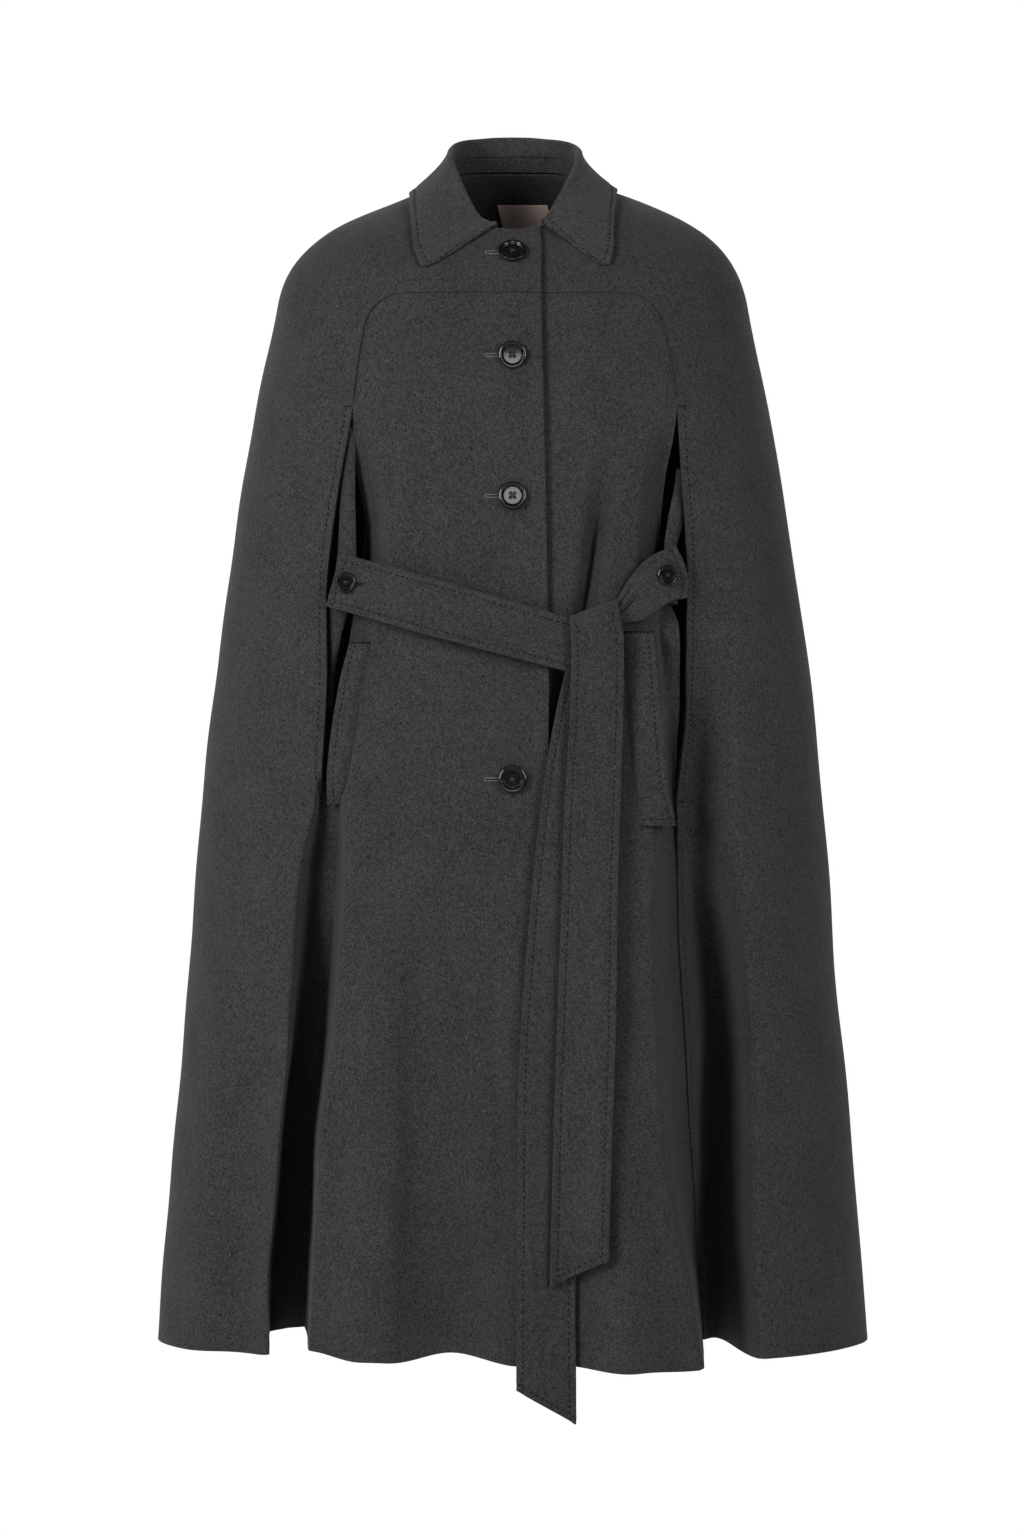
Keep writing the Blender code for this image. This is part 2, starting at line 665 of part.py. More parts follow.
def make_collar():
    angle, opened, edge_ring, edge_t = collar_columns()
    base = neck(angle)
    up = np.array([0.0, 0.0, 1.0])
    out = np.stack([np.sin(angle), -np.cos(angle), np.zeros_like(angle)], axis=-1)
    behind = np.clip(-np.cos(angle), 0.0, 1.0) ** 2
    stand_top = (STAND_END_HEIGHT + (STAND_HEIGHT - STAND_END_HEIGHT) * opened)[:, None]
    roll = (ROLL_END_HEIGHT + (ROLL_HEIGHT - ROLL_END_HEIGHT) * opened + ROLL_BACK_EXTRA * behind)[:, None]
    radius = (ROLL_END_RADIUS + (ROLL_RADIUS - ROLL_END_RADIUS) * opened)[:, None]
    lean = (ROLL_LEAN * opened * np.sin(angle) ** 2 + ROLL_BACK_LEAN * behind)[:, None]
    rise = up - out * lean / roll
    cloth("collar_stand", [np.stack([base + rise * (STAND_FOOT + (stand_top - STAND_FOOT) * t) for t in (0, 0.5, 1)])])

    crest = base + rise * roll
    rows = [base + rise * (stand_top + REST_GAP), crest, crest + out * radius + up * 0.8 * radius]
    leaf_start = crest + out * 2.0 * radius
    for w in np.linspace(0.0, 1.0, COLLAR_LEAF_ROWS):
        ring = ring_below(angle) + (edge_ring - ring_below(angle)) * w
        laid = shoulder_out(ring, edge_t * w, np.full(len(angle), COLLAR_CLEARANCE))
        rows.append(leaf_start + (laid - leaf_start) * smooth(w) ** 0.8)
    cloth("collar_fall", [np.stack(rows)])


def table_columns(table, count):
    """Every column of a table at evenly spaced places between its rows."""
    at = np.linspace(0.0, len(table) - 1.0, count)
    return [through(at, np.arange(len(table)), values) for values in zip(*table)]


def make_bands():
    """The two halves of the belt, each from its square end at the slit to where the knot covers it."""
    for name, table in (("belt_band_right", BAND_RIGHT), ("belt_band_left", BAND_LEFT)):
        x, drop, width, out = table_columns(table, BAND_COLUMNS)
        way = np.stack([np.gradient(x), np.gradient(drop)]) / np.hypot(np.gradient(x), np.gradient(drop))
        across = np.linspace(-0.5, 0.5, BAND_ROWS)[:, None] * width * np.sign(x[-1] - x[0])
        px = x - across * way[1]
        pd = drop + across * way[0]
        cloth(name, [np.stack([px, front_face(px, pd) - out - BELT_CLOTH / 2.0, -pd], axis=-1)], BELT_CLOTH)


def make_tails():
    """The two hanging ends. The short one begins behind the knot and wraps over its top."""
    for name, table in (("belt_tail_short", TAIL_SHORT), ("belt_tail_long", TAIL_LONG)):
        x, drop, width, out, slant = table_columns(table, TAIL_ROWS)
        across = np.linspace(-0.5, 0.5, BAND_ROWS)[:, None]
        px = x + across * width
        pd = drop - across * slant
        py = front_face(px, np.maximum(pd, TAIL_LEVEL_DROP)) - out - BELT_CLOTH / 2.0
        cloth(name, [np.stack([px, py, -pd], axis=-1)], BELT_CLOTH)


def outward_normals(grid):
    """Unit normals of a grid, turned to the side away from the middle of the coat."""
    normal = np.cross(np.gradient(grid, axis=1), np.gradient(grid, axis=0))
    normal = normal / np.linalg.norm(normal, axis=-1, keepdims=True)
    return normal * np.where(normal[..., 1:2] > 0.0, -1.0, 1.0)


def make_welts():
    """Pocket welts: points of the fronts between two upright edges, moved out."""
    for name, side, welt in (("pocket_welt_right", RIGHT, WELT_RIGHT), ("pocket_welt_left", LEFT, WELT_LEFT)):
        front = front_grid(side)
        rows = []
        for share in np.linspace(0.0, 1.0, WELT_ROWS):
            drop = welt.top_drop + (welt.foot_drop - welt.top_drop) * share
            above = np.searchsorted(levels(side), drop) - 1
            part = (drop - levels(side)[above]) / (levels(side)[above + 1] - levels(side)[above])
            line = front[above] + (front[above + 1] - front[above]) * part
            inner = welt.top_x + (welt.foot_x - welt.top_x) * share
            width = welt.top_width + (welt.foot_width - welt.top_width) * share
            along = lengths(line)
            at = np.interp(inner, line[:, 0] * side.sign, along) + np.linspace(0.0, width, WELT_COLUMNS)
            rows.append(np.stack([np.interp(at, along, line[:, k]) for k in range(3)], axis=-1))
        grid = np.stack(rows)
        cloth(name, [grid + outward_normals(grid) * (CLOTH + WELT_GAP)])


def make_stays():
    """Strips hanging inside the slits, brought forward at the waist by the belt's ends."""
    for name, side, stay in (("slit_stay_right", RIGHT, STAY_RIGHT), ("slit_stay_left", LEFT, STAY_LEFT)):
        share = np.linspace(0.02, 0.98, STAY_ROWS)[:, None]
        drop = side.top_drop + (side.foot_drop - side.top_drop) * share
        middle = seam_x(side, drop) - stay.inset * bump((share - stay.inset_share) / 0.45)
        middle = middle + stay.outset * smooth((share - 0.5) / 0.3)
        x = side.sign * (middle + np.linspace(-0.5, 0.5, 3) * stay.width)
        recess = stay.recess - (stay.recess - stay.recess_mid) * np.sin(np.pi * share) ** 2
        y = drape(angle_of(x, drop), drop + 0.0 * x)[..., 1] + recess
        cloth(name, [np.stack([x, y, -drop + 0.0 * x], axis=-1)])


def make_button(name, radius, centre, normal):
    """A round button with a raised rim and a dished middle."""
    points = []
    for row in BUTTON_PROFILE:
        for step in range(BUTTON_STEPS):
            turn = 2.0 * math.pi * step / BUTTON_STEPS
            points.append((row.out * radius * math.cos(turn), row.out * radius * math.sin(turn), row.height))
    last = len(points) - BUTTON_STEPS
    faces = [tuple(range(BUTTON_STEPS - 1, -1, -1)), tuple(range(last, len(points)))]
    for ring in range(len(BUTTON_PROFILE) - 1):
        for step in range(BUTTON_STEPS):
            a = ring * BUTTON_STEPS + step
            b = ring * BUTTON_STEPS + (step + 1) % BUTTON_STEPS
            faces.append((a, b, b + BUTTON_STEPS, a + BUTTON_STEPS))
    mesh = bpy.data.meshes.new(name)
    mesh.from_pydata(points, [], faces)
    obj = add_object(name, mesh, DARK_HORN)
    obj.rotation_mode = "QUATERNION"
    obj.rotation_quaternion = Vector(normal).to_track_quat("Z", "Y")
    obj.location = Vector(centre) + Vector(normal) * REST_GAP


def face_normal(face, x, drop):
    """Outward normal of a surface given as y over x and drop."""
    small = 0.004
    slope_x = (face(x + small, drop) - face(x - small, drop)) / (2.0 * small)
    slope_z = -(face(x, drop + small) - face(x, drop - small)) / (2.0 * small)
    normal = Vector((float(slope_x), -1.0, float(slope_z)))
    return normal.normalized()


def make_buttons():
    t = np.linspace(0.0, 1.0, 200)
    yoke = shoulder(np.zeros(200), t)
    at = np.interp(YOKE_BUTTON_DROP, -yoke[:, 2], t)
    seat = shoulder_out(np.array(0.0), np.array(at), CLOTH / 2.0)
    ahead = shoulder_out(np.array(0.0), np.array(at), 1.0) - seat
    make_button("front_button_1", BUTTON_RADIUS, seat, Vector(ahead).normalized())
    for number, drop in enumerate(BUTTON_DROPS, start=2):
        seat = (0.0, float(front_face(0.0, drop)), -drop)
        make_button(f"front_button_{number}", BUTTON_RADIUS, seat, face_normal(front_face, 0.0, drop))
    for name, table, row in (
        ("belt_button_right", BAND_RIGHT, BELT_BUTTON_RIGHT),
        ("belt_button_left", BAND_LEFT, BELT_BUTTON_LEFT),
    ):
        x, drop, width, out = table_columns(table, BAND_COLUMNS)
        order = np.argsort(x)

        def band_face(at_x, at_drop):
            return front_face(at_x, at_drop) - np.interp(at_x, x[order], out[order]) - BELT_CLOTH

        seat = (row.x, float(band_face(row.x, row.drop)), -row.drop)
        make_button(name, BELT_BUTTON_RADIUS, seat, face_normal(band_face, row.x, row.drop))


def make_label():
    """A blank label inside the back of the neck, made from the back's points moved in."""
    t = np.linspace(*LABEL_T, LABEL_ROWS)[:, None]
    x = np.linspace(*LABEL_X, LABEL_COLUMNS)
    fine = np.radians(np.linspace(140.0, 220.0, 200))
    middle = shoulder(np.where(fine > math.pi, fine - 2.0 * math.pi, fine), np.full(200, np.mean(LABEL_T)))
    angle = np.interp(-x, -middle[:, 0], fine)
    angle = np.where(angle > math.pi, angle - 2.0 * math.pi, angle)
    inside = -(CLOTH / 2.0 + LABEL_GAP + LABEL_CLOTH / 2.0)
    grid = shoulder_out(angle[None, :], t, np.full((LABEL_ROWS, LABEL_COLUMNS), inside))
    cloth("neck_label", [grid], LABEL_CLOTH, LABEL_SATIN)


make_collar()
make_bands()
make_tails()
make_welts()
make_stays()
make_buttons()
make_label()
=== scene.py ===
import math
from collections import namedtuple
from functools import partial

import bpy
import numpy as np
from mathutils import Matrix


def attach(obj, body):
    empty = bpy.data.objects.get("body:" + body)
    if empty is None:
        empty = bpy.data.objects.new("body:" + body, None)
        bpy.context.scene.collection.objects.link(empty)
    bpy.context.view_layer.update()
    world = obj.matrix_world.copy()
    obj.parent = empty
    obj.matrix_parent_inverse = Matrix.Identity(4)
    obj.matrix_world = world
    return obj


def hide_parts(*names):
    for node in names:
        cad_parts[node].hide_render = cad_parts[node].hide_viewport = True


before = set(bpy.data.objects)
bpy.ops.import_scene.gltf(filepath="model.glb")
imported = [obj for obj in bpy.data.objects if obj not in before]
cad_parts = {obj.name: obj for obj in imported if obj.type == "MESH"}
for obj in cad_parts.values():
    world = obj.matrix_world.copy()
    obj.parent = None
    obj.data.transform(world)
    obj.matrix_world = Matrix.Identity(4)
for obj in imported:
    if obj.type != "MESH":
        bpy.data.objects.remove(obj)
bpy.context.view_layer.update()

# Looks of the belted cape coat: fine shells of charcoal wool on the forms of its cut pieces, with their folds,
# sewing, buttonholes and buttons. Metres, +Z up, front towards -Y, the wearer's left towards +X. The origin is
# the middle of the neck at the shoulder points, and heights are given as a drop below it.


def rows(kind, *values):
    """A table: one named row for each line of values."""
    return [kind(*line) for line in values]


# Cloth and seams
CLOTH = 0.0026
BELT_CLOTH = 0.0030
LABEL_CLOTH = 0.0010
REST_GAP = 0.0006
EDGE_ROUNDING = 0.0008

# Heights
YOKE_DROP = 0.1205
HEM_DROP = 1.095
YOKE_CORNER_RADIUS = 0.030
CAPE_RISE_WIDTH = 0.050
HEM_RISE_START = 0.900

# Level sections of the drape: half its width, and how far it reaches to the front and to the back
Section = namedtuple("Section", "drop half_width front back")
SECTIONS = rows(
    Section,
    (0.118, 0.2215, 0.120, 0.104),
    (0.225, 0.2435, 0.140, 0.124),
    (0.400, 0.2705, 0.139, 0.144),
    (0.585, 0.2925, 0.149, 0.166),
    (0.800, 0.3085, 0.163, 0.190),
    (1.095, 0.3325, 0.176, 0.215),
)
OVAL_POWER = 2.3
AXIS_Y = 0.02  # the coat's upright middle, which outward is measured from

# Neck loop and the slopes of the cloth that leaves it
NECK_HALF_WIDTH = 0.068
NECK_CENTRE_Y = -0.010
NECK_HALF_DEPTH = 0.075
NECK_BACK_RISE = 0.018
NECK_FRONT_DROP = 0.058
NECK_SIDE_RISE = -0.008
SIDE_SEAM_ANGLE = math.radians(98.0)
FRONT_STEEP_DEG = 58.0
BACK_STEEP_DEG = 42.0
RIGHT_STEEP_DEG = 22.0
LEFT_STEEP_DEG = 14.5
NeckTie = namedtuple("NeckTie", "ring_x neck_deg")  # points of the yoke's ring and of the neck above them
NECK_TIES = rows(
    NeckTie,
    (0.033, 24.0),
    (0.104, 42.0),
)
RING_STEP = 0.010  # the height over which the cloth's slope below the ring is taken
NECK_PULL = 0.32
YOKE_PULL = 0.38
RIGHT_SHOULDER_PULL = 0.04  # how much squarer each shoulder is at its side
LEFT_SHOULDER_PULL = 0.07

# Each side's slit, seam and the deep valley that the seam hangs in below the slit. The openings say how far
# the cloth stands away from the seam line at shares of the slit's height. The valley's rows say where the seam
# runs, how deep it and the deepest line lie, how far that line is from the seam, and the widths of the floors
# and walls.
Opening = namedtuple("Opening", "share front cape")
Valley = namedtuple("Valley", "drop seam_x seam_depth deepest shift front_floor front_wall cape_floor cape_wall")
Side = namedtuple(
    "Side",
    "sign yoke_x top_x top_drop foot_drop openings turn_depth turn_keep front_from front_full cape_from cape_full "
    "crisp undercut hem_rise front_rise_width valley",
)
RIGHT_OPENINGS = rows(
    Opening,
    (0.000, 0.0000, 0.0000),
    (0.090, 0.0045, 0.0018),
    (0.180, 0.0120, 0.0040),
    (0.310, 0.0220, 0.0070),
    (0.400, 0.0215, 0.0078),
    (0.520, 0.0185, 0.0068),
    (0.606, 0.0155, 0.0054),
    (0.705, 0.0118, 0.0036),
    (0.852, 0.0078, 0.0016),
    (0.950, 0.0050, 0.0005),
    (1.000, 0.0000, 0.0000),
)
LEFT_OPENINGS = rows(
    Opening,
    (0.000, 0.0000, 0.0000),
    (0.090, 0.0041, 0.0022),
    (0.180, 0.0100, 0.0046),
    (0.280, 0.0138, 0.0084),
    (0.400, 0.0150, 0.0106),
    (0.500, 0.0040, 0.0108),
    (0.560, -0.0030, 0.0106),
    (0.630, -0.0040, 0.0104),
    (0.760, -0.0028, 0.0090),
    (0.890, 0.0000, 0.0044),
    (1.000, 0.0000, 0.0000),
)
RIGHT_VALLEY = rows(
    Valley,
    (0.500, 0.1695, 0.018, 0.018, 0.000, 0.0020, 0.0200, 0.0010, 0.0050),
    (0.584, 0.1760, 0.018, 0.018, 0.000, 0.0170, 0.0060, 0.0010, 0.0050),
    (0.632, 0.1785, 0.028, 0.028, 0.000, 0.0200, 0.0070, 0.0010, 0.0130),
    (0.674, 0.1808, 0.036, 0.036, 0.000, 0.0215, 0.0075, 0.0010, 0.0170),
    (0.728, 0.1825, 0.050, 0.050, 0.000, 0.0195, 0.0075, 0.0010, 0.0190),
    (0.800, 0.1840, 0.074, 0.074, 0.000, 0.0155, 0.0070, 0.0105, 0.0120),
    (0.850, 0.1840, 0.092, 0.092, 0.000, 0.0095, 0.0060, 0.0190, 0.0080),
    (0.895, 0.1835, 0.106, 0.106, 0.000, 0.0040, 0.0050, 0.0250, 0.0060),
    (0.965, 0.1830, 0.124, 0.124, 0.000, 0.0016, 0.0040, 0.0310, 0.0050),
    (1.030, 0.1840, 0.136, 0.136, 0.000, 0.0006, 0.0026, 0.0360, 0.0040),
    (1.095, 0.1850, 0.140, 0.140, 0.000, 0.0006, 0.0016, 0.0370, 0.0024),
)
LEFT_VALLEY = rows(
    Valley,
    (0.588, 0.1500, 0.036, 0.040, 0.006, 0.0010, 0.0230, 0.0060, 0.0440),
    (0.660, 0.1510, 0.034, 0.054, 0.016, 0.0010, 0.0250, 0.0050, 0.0400),
    (0.728, 0.1535, 0.034, 0.072, 0.026, 0.0010, 0.0280, 0.0050, 0.0340),
    (0.800, 0.1570, 0.038, 0.092, 0.032, 0.0010, 0.0300, 0.0040, 0.0300),
    (0.890, 0.1628, 0.054, 0.112, 0.024, 0.0010, 0.0290, 0.0040, 0.0330),
    (0.965, 0.1680, 0.080, 0.120, 0.014, 0.0010, 0.0220, 0.0050, 0.0360),
    (1.030, 0.1730, 0.108, 0.124, 0.008, 0.0010, 0.0110, 0.0050, 0.0400),
    (1.095, 0.1775, 0.125, 0.125, 0.004, 0.0010, 0.0035, 0.0040, 0.0430),
)
RIGHT = Side(
    sign=-1, yoke_x=0.131, top_x=0.1475, top_drop=0.225, foot_drop=0.584, openings=RIGHT_OPENINGS,
    turn_depth=0.030, turn_keep=0.2, front_from=0.0, front_full=0.9, cape_from=0.93, cape_full=1.0,
    crisp=0.65, undercut=0.072, hem_rise=0.010, front_rise_width=0.050, valley=RIGHT_VALLEY,
)
LEFT = Side(
    sign=1, yoke_x=0.134, top_x=0.1503, top_drop=0.225, foot_drop=0.588, openings=LEFT_OPENINGS,
    turn_depth=0.026, turn_keep=0.9, front_from=0.62, front_full=0.98, cape_from=0.35, cape_full=1.0,
    crisp=0.0, undercut=0.0, hem_rise=0.007, front_rise_width=0.006, valley=LEFT_VALLEY,
)
LAP_NECK_X = 0.0262  # the overlap's edge beside the middle, at the neck and from the waist down
LAP_WAIST_X = 0.0330
LAP_BEND_DROP = 0.06  # where it starts to move from one to the other, and over what height
LAP_BEND_HEIGHT = 0.45
SIDES = (("right", RIGHT), ("left", LEFT))
TURN_EASE_SHARE = 0.38  # of the slit, where the front's turned-in edge eases, and over what share
TURN_EASE_SPAN = 0.16
BELT_HOLD = 0.85  # how much of the turn-in is gone just under the belt, and where on the slit that is
BELT_SHARE = 0.57
BELT_SPAN = 0.14
LEAST_SHIFT = 0.001
UNDERCUT_HEIGHT = 0.06  # how soon the valley's walls start to lean under the slit's foot
SLIT_END = 0.012  # how soon the sewn seam gives way to the slit

# Soft folds of the fronts at the hem, and flutes of the sides and the back
FrontFold = namedtuple("FrontFold", "x forward half_width start_drop lift")
FRONT_FOLDS = rows(
    FrontFold,
    (-0.250, -0.026, 0.060, 0.650, 0.000),
    (-0.130, 0.006, 0.045, 0.600, 0.002),
    (-0.055, -0.028, 0.060, 0.640, 0.007),
    (0.012, 0.006, 0.040, 0.600, 0.000),
    (0.106, 0.029, 0.062, 0.560, -0.004),
    (0.164, 0.010, 0.050, 0.700, -0.006),
)
Flute = namedtuple("Flute", "angle_deg out half_width_deg start_drop")
FLUTES = rows(
    Flute,
    (82, 0.003, 16, 0.55),
    (112, -0.014, 15, 0.42),
    (134, 0.016, 16, 0.36),
    (157, -0.020, 15, 0.33),
    (180, 0.016, 15, 0.30),
)

# Creases, as soft troughs from one point to another: depth, and width to the left and right of the run as seen
# from in front. A negative depth is a ridge.
Crease = namedtuple("Crease", "x0 drop0 x1 drop1 depth left right")
FRONT_CREASES = rows(
    Crease,
    (0.094, 0.235, 0.0575, 0.470, 0.0105, 0.020, 0.013),
    (0.083, 0.305, 0.0575, 0.470, 0.0085, 0.013, 0.0045),
    (0.1300, 0.350, 0.1475, 0.670, 0.0100, 0.0040, 0.012),
    (0.108, 0.250, 0.073, 0.430, -0.0030, 0.012, 0.040),
    (0.052, 0.320, 0.050, 0.425, 0.0022, 0.012, 0.016),
    (-0.108, 0.250, -0.062, 0.420, 0.0016, 0.022, 0.026),
    (-0.086, 0.640, -0.094, 1.120, 0.0062, 0.024, 0.030),
    (-0.014, 0.680, -0.010, 1.120, 0.0056, 0.020, 0.020),
    (0.092, 0.660, 0.118, 1.060, 0.0020, 0.020, 0.030),
)
KNOT_GAP = [Crease(0.044, 0.440, 0.038, 0.560, 0.0240, 0.011, 0.024)]  # under the knot, on the lower front
BACK_CREASES = rows(
    Crease,
    (-0.060, 0.170, -0.098, 0.560, 0.0067, 0.030, 0.022),
    (0.078, 0.150, 0.104, 0.470, 0.0058, 0.024, 0.034),
    (0.022, 0.300, 0.040, 0.780, 0.0048, 0.026, 0.022),
    (-0.150, 0.260, -0.172, 0.640, 0.0045, 0.030, 0.030),
    (0.160, 0.330, 0.186, 0.760, 0.0051, 0.024, 0.034),
    (-0.020, 0.560, -0.046, 1.020, 0.0048, 0.020, 0.028),
)
CREASE_START = 0.4  # shares of a crease over which it fades in and out
CREASE_END = 0.3
# Long low waves that keep the cloth from lying dead even: height, waves per metre along each axis, and phase
Ripple = namedtuple("Ripple", "height per_x per_y per_z phase")
RIPPLES = rows(
    Ripple,
    (0.0008, 4.7, 1.9, 2.6, 1.3),
    (0.0006, -7.3, 5.1, 3.9, 0.4),
    (0.0004, 11.9, -6.7, 7.1, 2.1),
)

# Front fastening
EDGE_LIFT = 0.0012  # the overlapping edge stands a little off the cloth under it
YOKE_STEP = 0.0011  # the yoke's lower edge stands a little over the fronts
YOKE_STEP_HEIGHT = 0.005
SEAM_RIDGE = 0.0008
RIDGE_WIDTH = 1.6 * YOKE_STEP_HEIGHT
RIDGE_END = 6.0  # columns before the yoke's corner at which its ridge starts to fade, and over how many
RIDGE_END_FADE = 5.0
UNDER_LAP = 0.0043
UNDER_LAP_HEM = 0.0068
OVERLAP_FADE = 0.030
YOKE_BUTTON_DROP = 0.0825
YOKE_BUTTON_TURN_DEG = 12.0
FrontButton = namedtuple("FrontButton", "drop lean turn_deg")  # lean: how far it is tipped up
FRONT_BUTTONS = rows(
    FrontButton,
    (0.180, 0.002, 48.0),
    (0.309, 0.094, 35.0),
    (0.438, 0.030, 20.0),
    (0.567, 0.040, 64.0),
)
BUTTON_RADIUS = 0.0127
BUTTON_SHANK = 0.0006  # thread under a button
BELT_BUTTON_RADIUS = 0.0095

# Collar
COLLAR_RIGHT_END_DEG = 12.5
COLLAR_LEFT_END_DEG = 25.0
STAND_FOOT = 0.0019
STAND_HEIGHT = 0.016
STAND_END_HEIGHT = 0.0020
STAND_OPEN_DEG = 75.0
STAND_ROWS = 9
ROLL_RADIUS = 0.0021
ROLL_END_RADIUS = 0.0020
ROLL_RISE = 0.8  # how far the roll's round rises over its crest, in radii
ROLL_STEPS = 4
Roll = namedtuple("Roll", "neck_deg height lean_right lean_left")  # the crest above the neck, and its lean in
COLLAR_ROLL = rows(
    Roll,
    (12.5, 0.0030, 0.0000, 0.0030),
    (25.0, 0.0034, 0.0040, 0.0040),
    (32.0, 0.0068, 0.0062, 0.0056),
    (43.0, 0.0150, 0.0085, 0.0076),
    (62.0, 0.0262, 0.0107, 0.0078),
    (90.0, 0.0310, 0.0108, 0.0070),
    (108.0, 0.0306, 0.0092, 0.0050),
    (146.0, 0.0306, 0.0060, 0.0050),
    (166.0, 0.0315, 0.0060, 0.0058),
    (180.0, 0.0317, 0.0060, 0.0060),
)
COLLAR_CLEARANCE = 0.0045
COLLAR_TIP_SHARE = 0.030  # rounding of the collar's points
COLLAR_TIP_CUT = 0.10
CollarEdge = namedtuple("CollarEdge", "share ring_deg t")
COLLAR_EDGE = rows(
    CollarEdge,
    (0.00, 19.4, 0.800),
    (0.10, 24.9, 0.620),
    (0.22, 36.5, 0.385),
    (0.33, 56.4, 0.225),
    (0.46, 84.0, 0.160),
    (0.64, 118.0, 0.175),
    (1.00, 180.0, 0.210),
)
COLLAR_CROWDING = 1.35  # how much closer its columns stand towards the points
COLLAR_LEFT_DIP = 0.10  # how far the left end's front edge hangs below a straight line, and how far along
COLLAR_DIP_SHARE = 0.12
COLLAR_DIP_MIDDLE = 0.26
COLLAR_LEFT_SPREAD = 1.4  # degrees by which the left point lies further out, and how far along
COLLAR_SPREAD_SHARE = 0.3
LEAF_STRAIGHT = 0.9  # how straight the leaf falls from the roll to its edge

# Belt: middle line, width and distance from the fronts along the two bands and the two hanging ends
Band = namedtuple("Band", "x drop width out")
BAND_RIGHT = rows(
    Band,
    (-0.163, 0.3846, 0.050, 0.0040),
    (-0.080, 0.4085, 0.051, 0.0080),
    (0.000, 0.4310, 0.049, 0.0080),
    (0.070, 0.4500, 0.047, 0.0070),
)
BandEdges = namedtuple("BandEdges", "top_x top_drop foot_x foot_drop out")
BAND_LEFT = rows(
    BandEdges,
    (0.0880, 0.4120, 0.0880, 0.4290, 0.0085),
    (0.0982, 0.3998, 0.1015, 0.4235, 0.0085),
    (0.1065, 0.3848, 0.1149, 0.4223, 0.0080),
    (0.1182, 0.3698, 0.1315, 0.4132, 0.0070),
    (0.1348, 0.3591, 0.1481, 0.4032, 0.0055),
    (0.1498, 0.3540, 0.1598, 0.4014, 0.0040),
)
BAND_LEFT_BULGE = 0.005  # its free end is bowed out
BULGE_START = 0.8
GATHER_START = 0.12  # how far along it the knot's pleats and rolled edges fade
GATHER_FADE = 0.5
EDGE_ROLL = 0.0050
Pleat = namedtuple("Pleat", "depth across drift half_width")
PLEATS = rows(
    Pleat,
    (0.0080, 0.62, 0.30, 0.13),
    (0.0042, 0.22, 0.00, 0.11),
)
Tail = namedtuple("Tail", "x drop width out slant")
TAIL_SHORT = rows(
    Tail,
    (0.0745, 0.4400, 0.040, 0.0022, 0.014),
    (0.0735, 0.4190, 0.042, 0.0024, 0.016),
    (0.0735, 0.4120, 0.043, 0.0085, 0.016),
    (0.0740, 0.4210, 0.044, 0.0140, 0.014),
    (0.0770, 0.4450, 0.047, 0.0146, 0.006),
    (0.0765, 0.5000, 0.048, 0.0125, 0.000),
    (0.0720, 0.6000, 0.050, 0.0110, 0.000),
    (0.0660, 0.8000, 0.052, 0.0105, 0.000),
    (0.0620, 0.9300, 0.052, 0.0105, 0.000),
    (0.0600, 1.0100, 0.052, 0.0105, 0.026),
)
TAIL_LONG = rows(
    Tail,
    (0.0690, 0.4640, 0.040, 0.0038, 0.000),
    (0.0600, 0.5130, 0.044, 0.0040, 0.000),
    (0.0520, 0.5760, 0.048, 0.0044, 0.000),
    (0.0422, 0.6760, 0.051, 0.0044, 0.000),
    (0.0315, 0.8570, 0.053, 0.0044, 0.000),
    (0.0300, 1.0500, 0.053, 0.0044, 0.000),
    (0.0300, 1.1310, 0.053, 0.0044, -0.031),
)
TAIL_LEVEL_DROP = 0.440
KNOT_COLUMNS = 62  # of the short end, inside the knot
BeltButton = namedtuple("BeltButton", "x drop out turn_deg")
BELT_BUTTON_RIGHT = BeltButton(-0.1517, 0.3872, 0.0044, 30.0)
BELT_BUTTON_LEFT = BeltButton(0.1418, 0.3808, 0.0052, 75.0)
BELT_BUTTON_TURN = np.array([0.0, -1.6, 0.0])  # they sit turned towards the front

# Pocket welts and the stays inside the slits, by height: inner and outer edge, and how far back they lie
Strip = namedtuple("Strip", "drop inner_x outer_x back")
WELT_RIGHT = rows(
    Strip,
    (0.4425, 0.1270, 0.1480, 0.000),
    (0.4800, 0.1350, 0.1585, 0.000),
    (0.5175, 0.1425, 0.1650, 0.001),
    (0.5600, 0.1490, 0.1690, 0.003),
    (0.5900, 0.1530, 0.1705, 0.007),
)
WELT_LEFT = rows(
    Strip,
    (0.4330, 0.0980, 0.1280, 0.000),
    (0.5200, 0.1030, 0.1335, 0.000),
    (0.6100, 0.1125, 0.1420, 0.000),
)
STAY_RIGHT = rows(
    Strip,
    (0.2440, 0.1472, 0.1520, 0.008),
    (0.2710, 0.1450, 0.1545, 0.007),
    (0.3050, 0.1440, 0.1568, 0.006),
    (0.3600, 0.1430, 0.1592, 0.006),
    (0.3850, 0.1460, 0.1625, 0.006),
    (0.4135, 0.1512, 0.1670, 0.008),
    (0.4410, 0.1588, 0.1678, 0.010),
    (0.4750, 0.1655, 0.1690, 0.014),
    (0.5050, 0.1680, 0.1700, 0.020),
)
STAY_LEFT = rows(
    Strip,
    (0.2810, 0.1518, 0.1548, 0.020),
    (0.3013, 0.1490, 0.1590, 0.012),
    (0.3160, 0.1455, 0.1590, 0.009),
    (0.3316, 0.1424, 0.1565, 0.008),
    (0.3564, 0.1396, 0.1500, 0.008),
    (0.3820, 0.1394, 0.1500, 0.008),
    (0.4060, 0.1420, 0.1520, 0.014),
)
WELT_GAP = 0.0006
WELT_LIFT = 0.0050  # how far the left welt's free edge stands off
WELT_FADE = 0.030  # how soon the right welt's foot sinks in
WELT_SINK = 0.0008  # how deep the edges that are sewn down lie
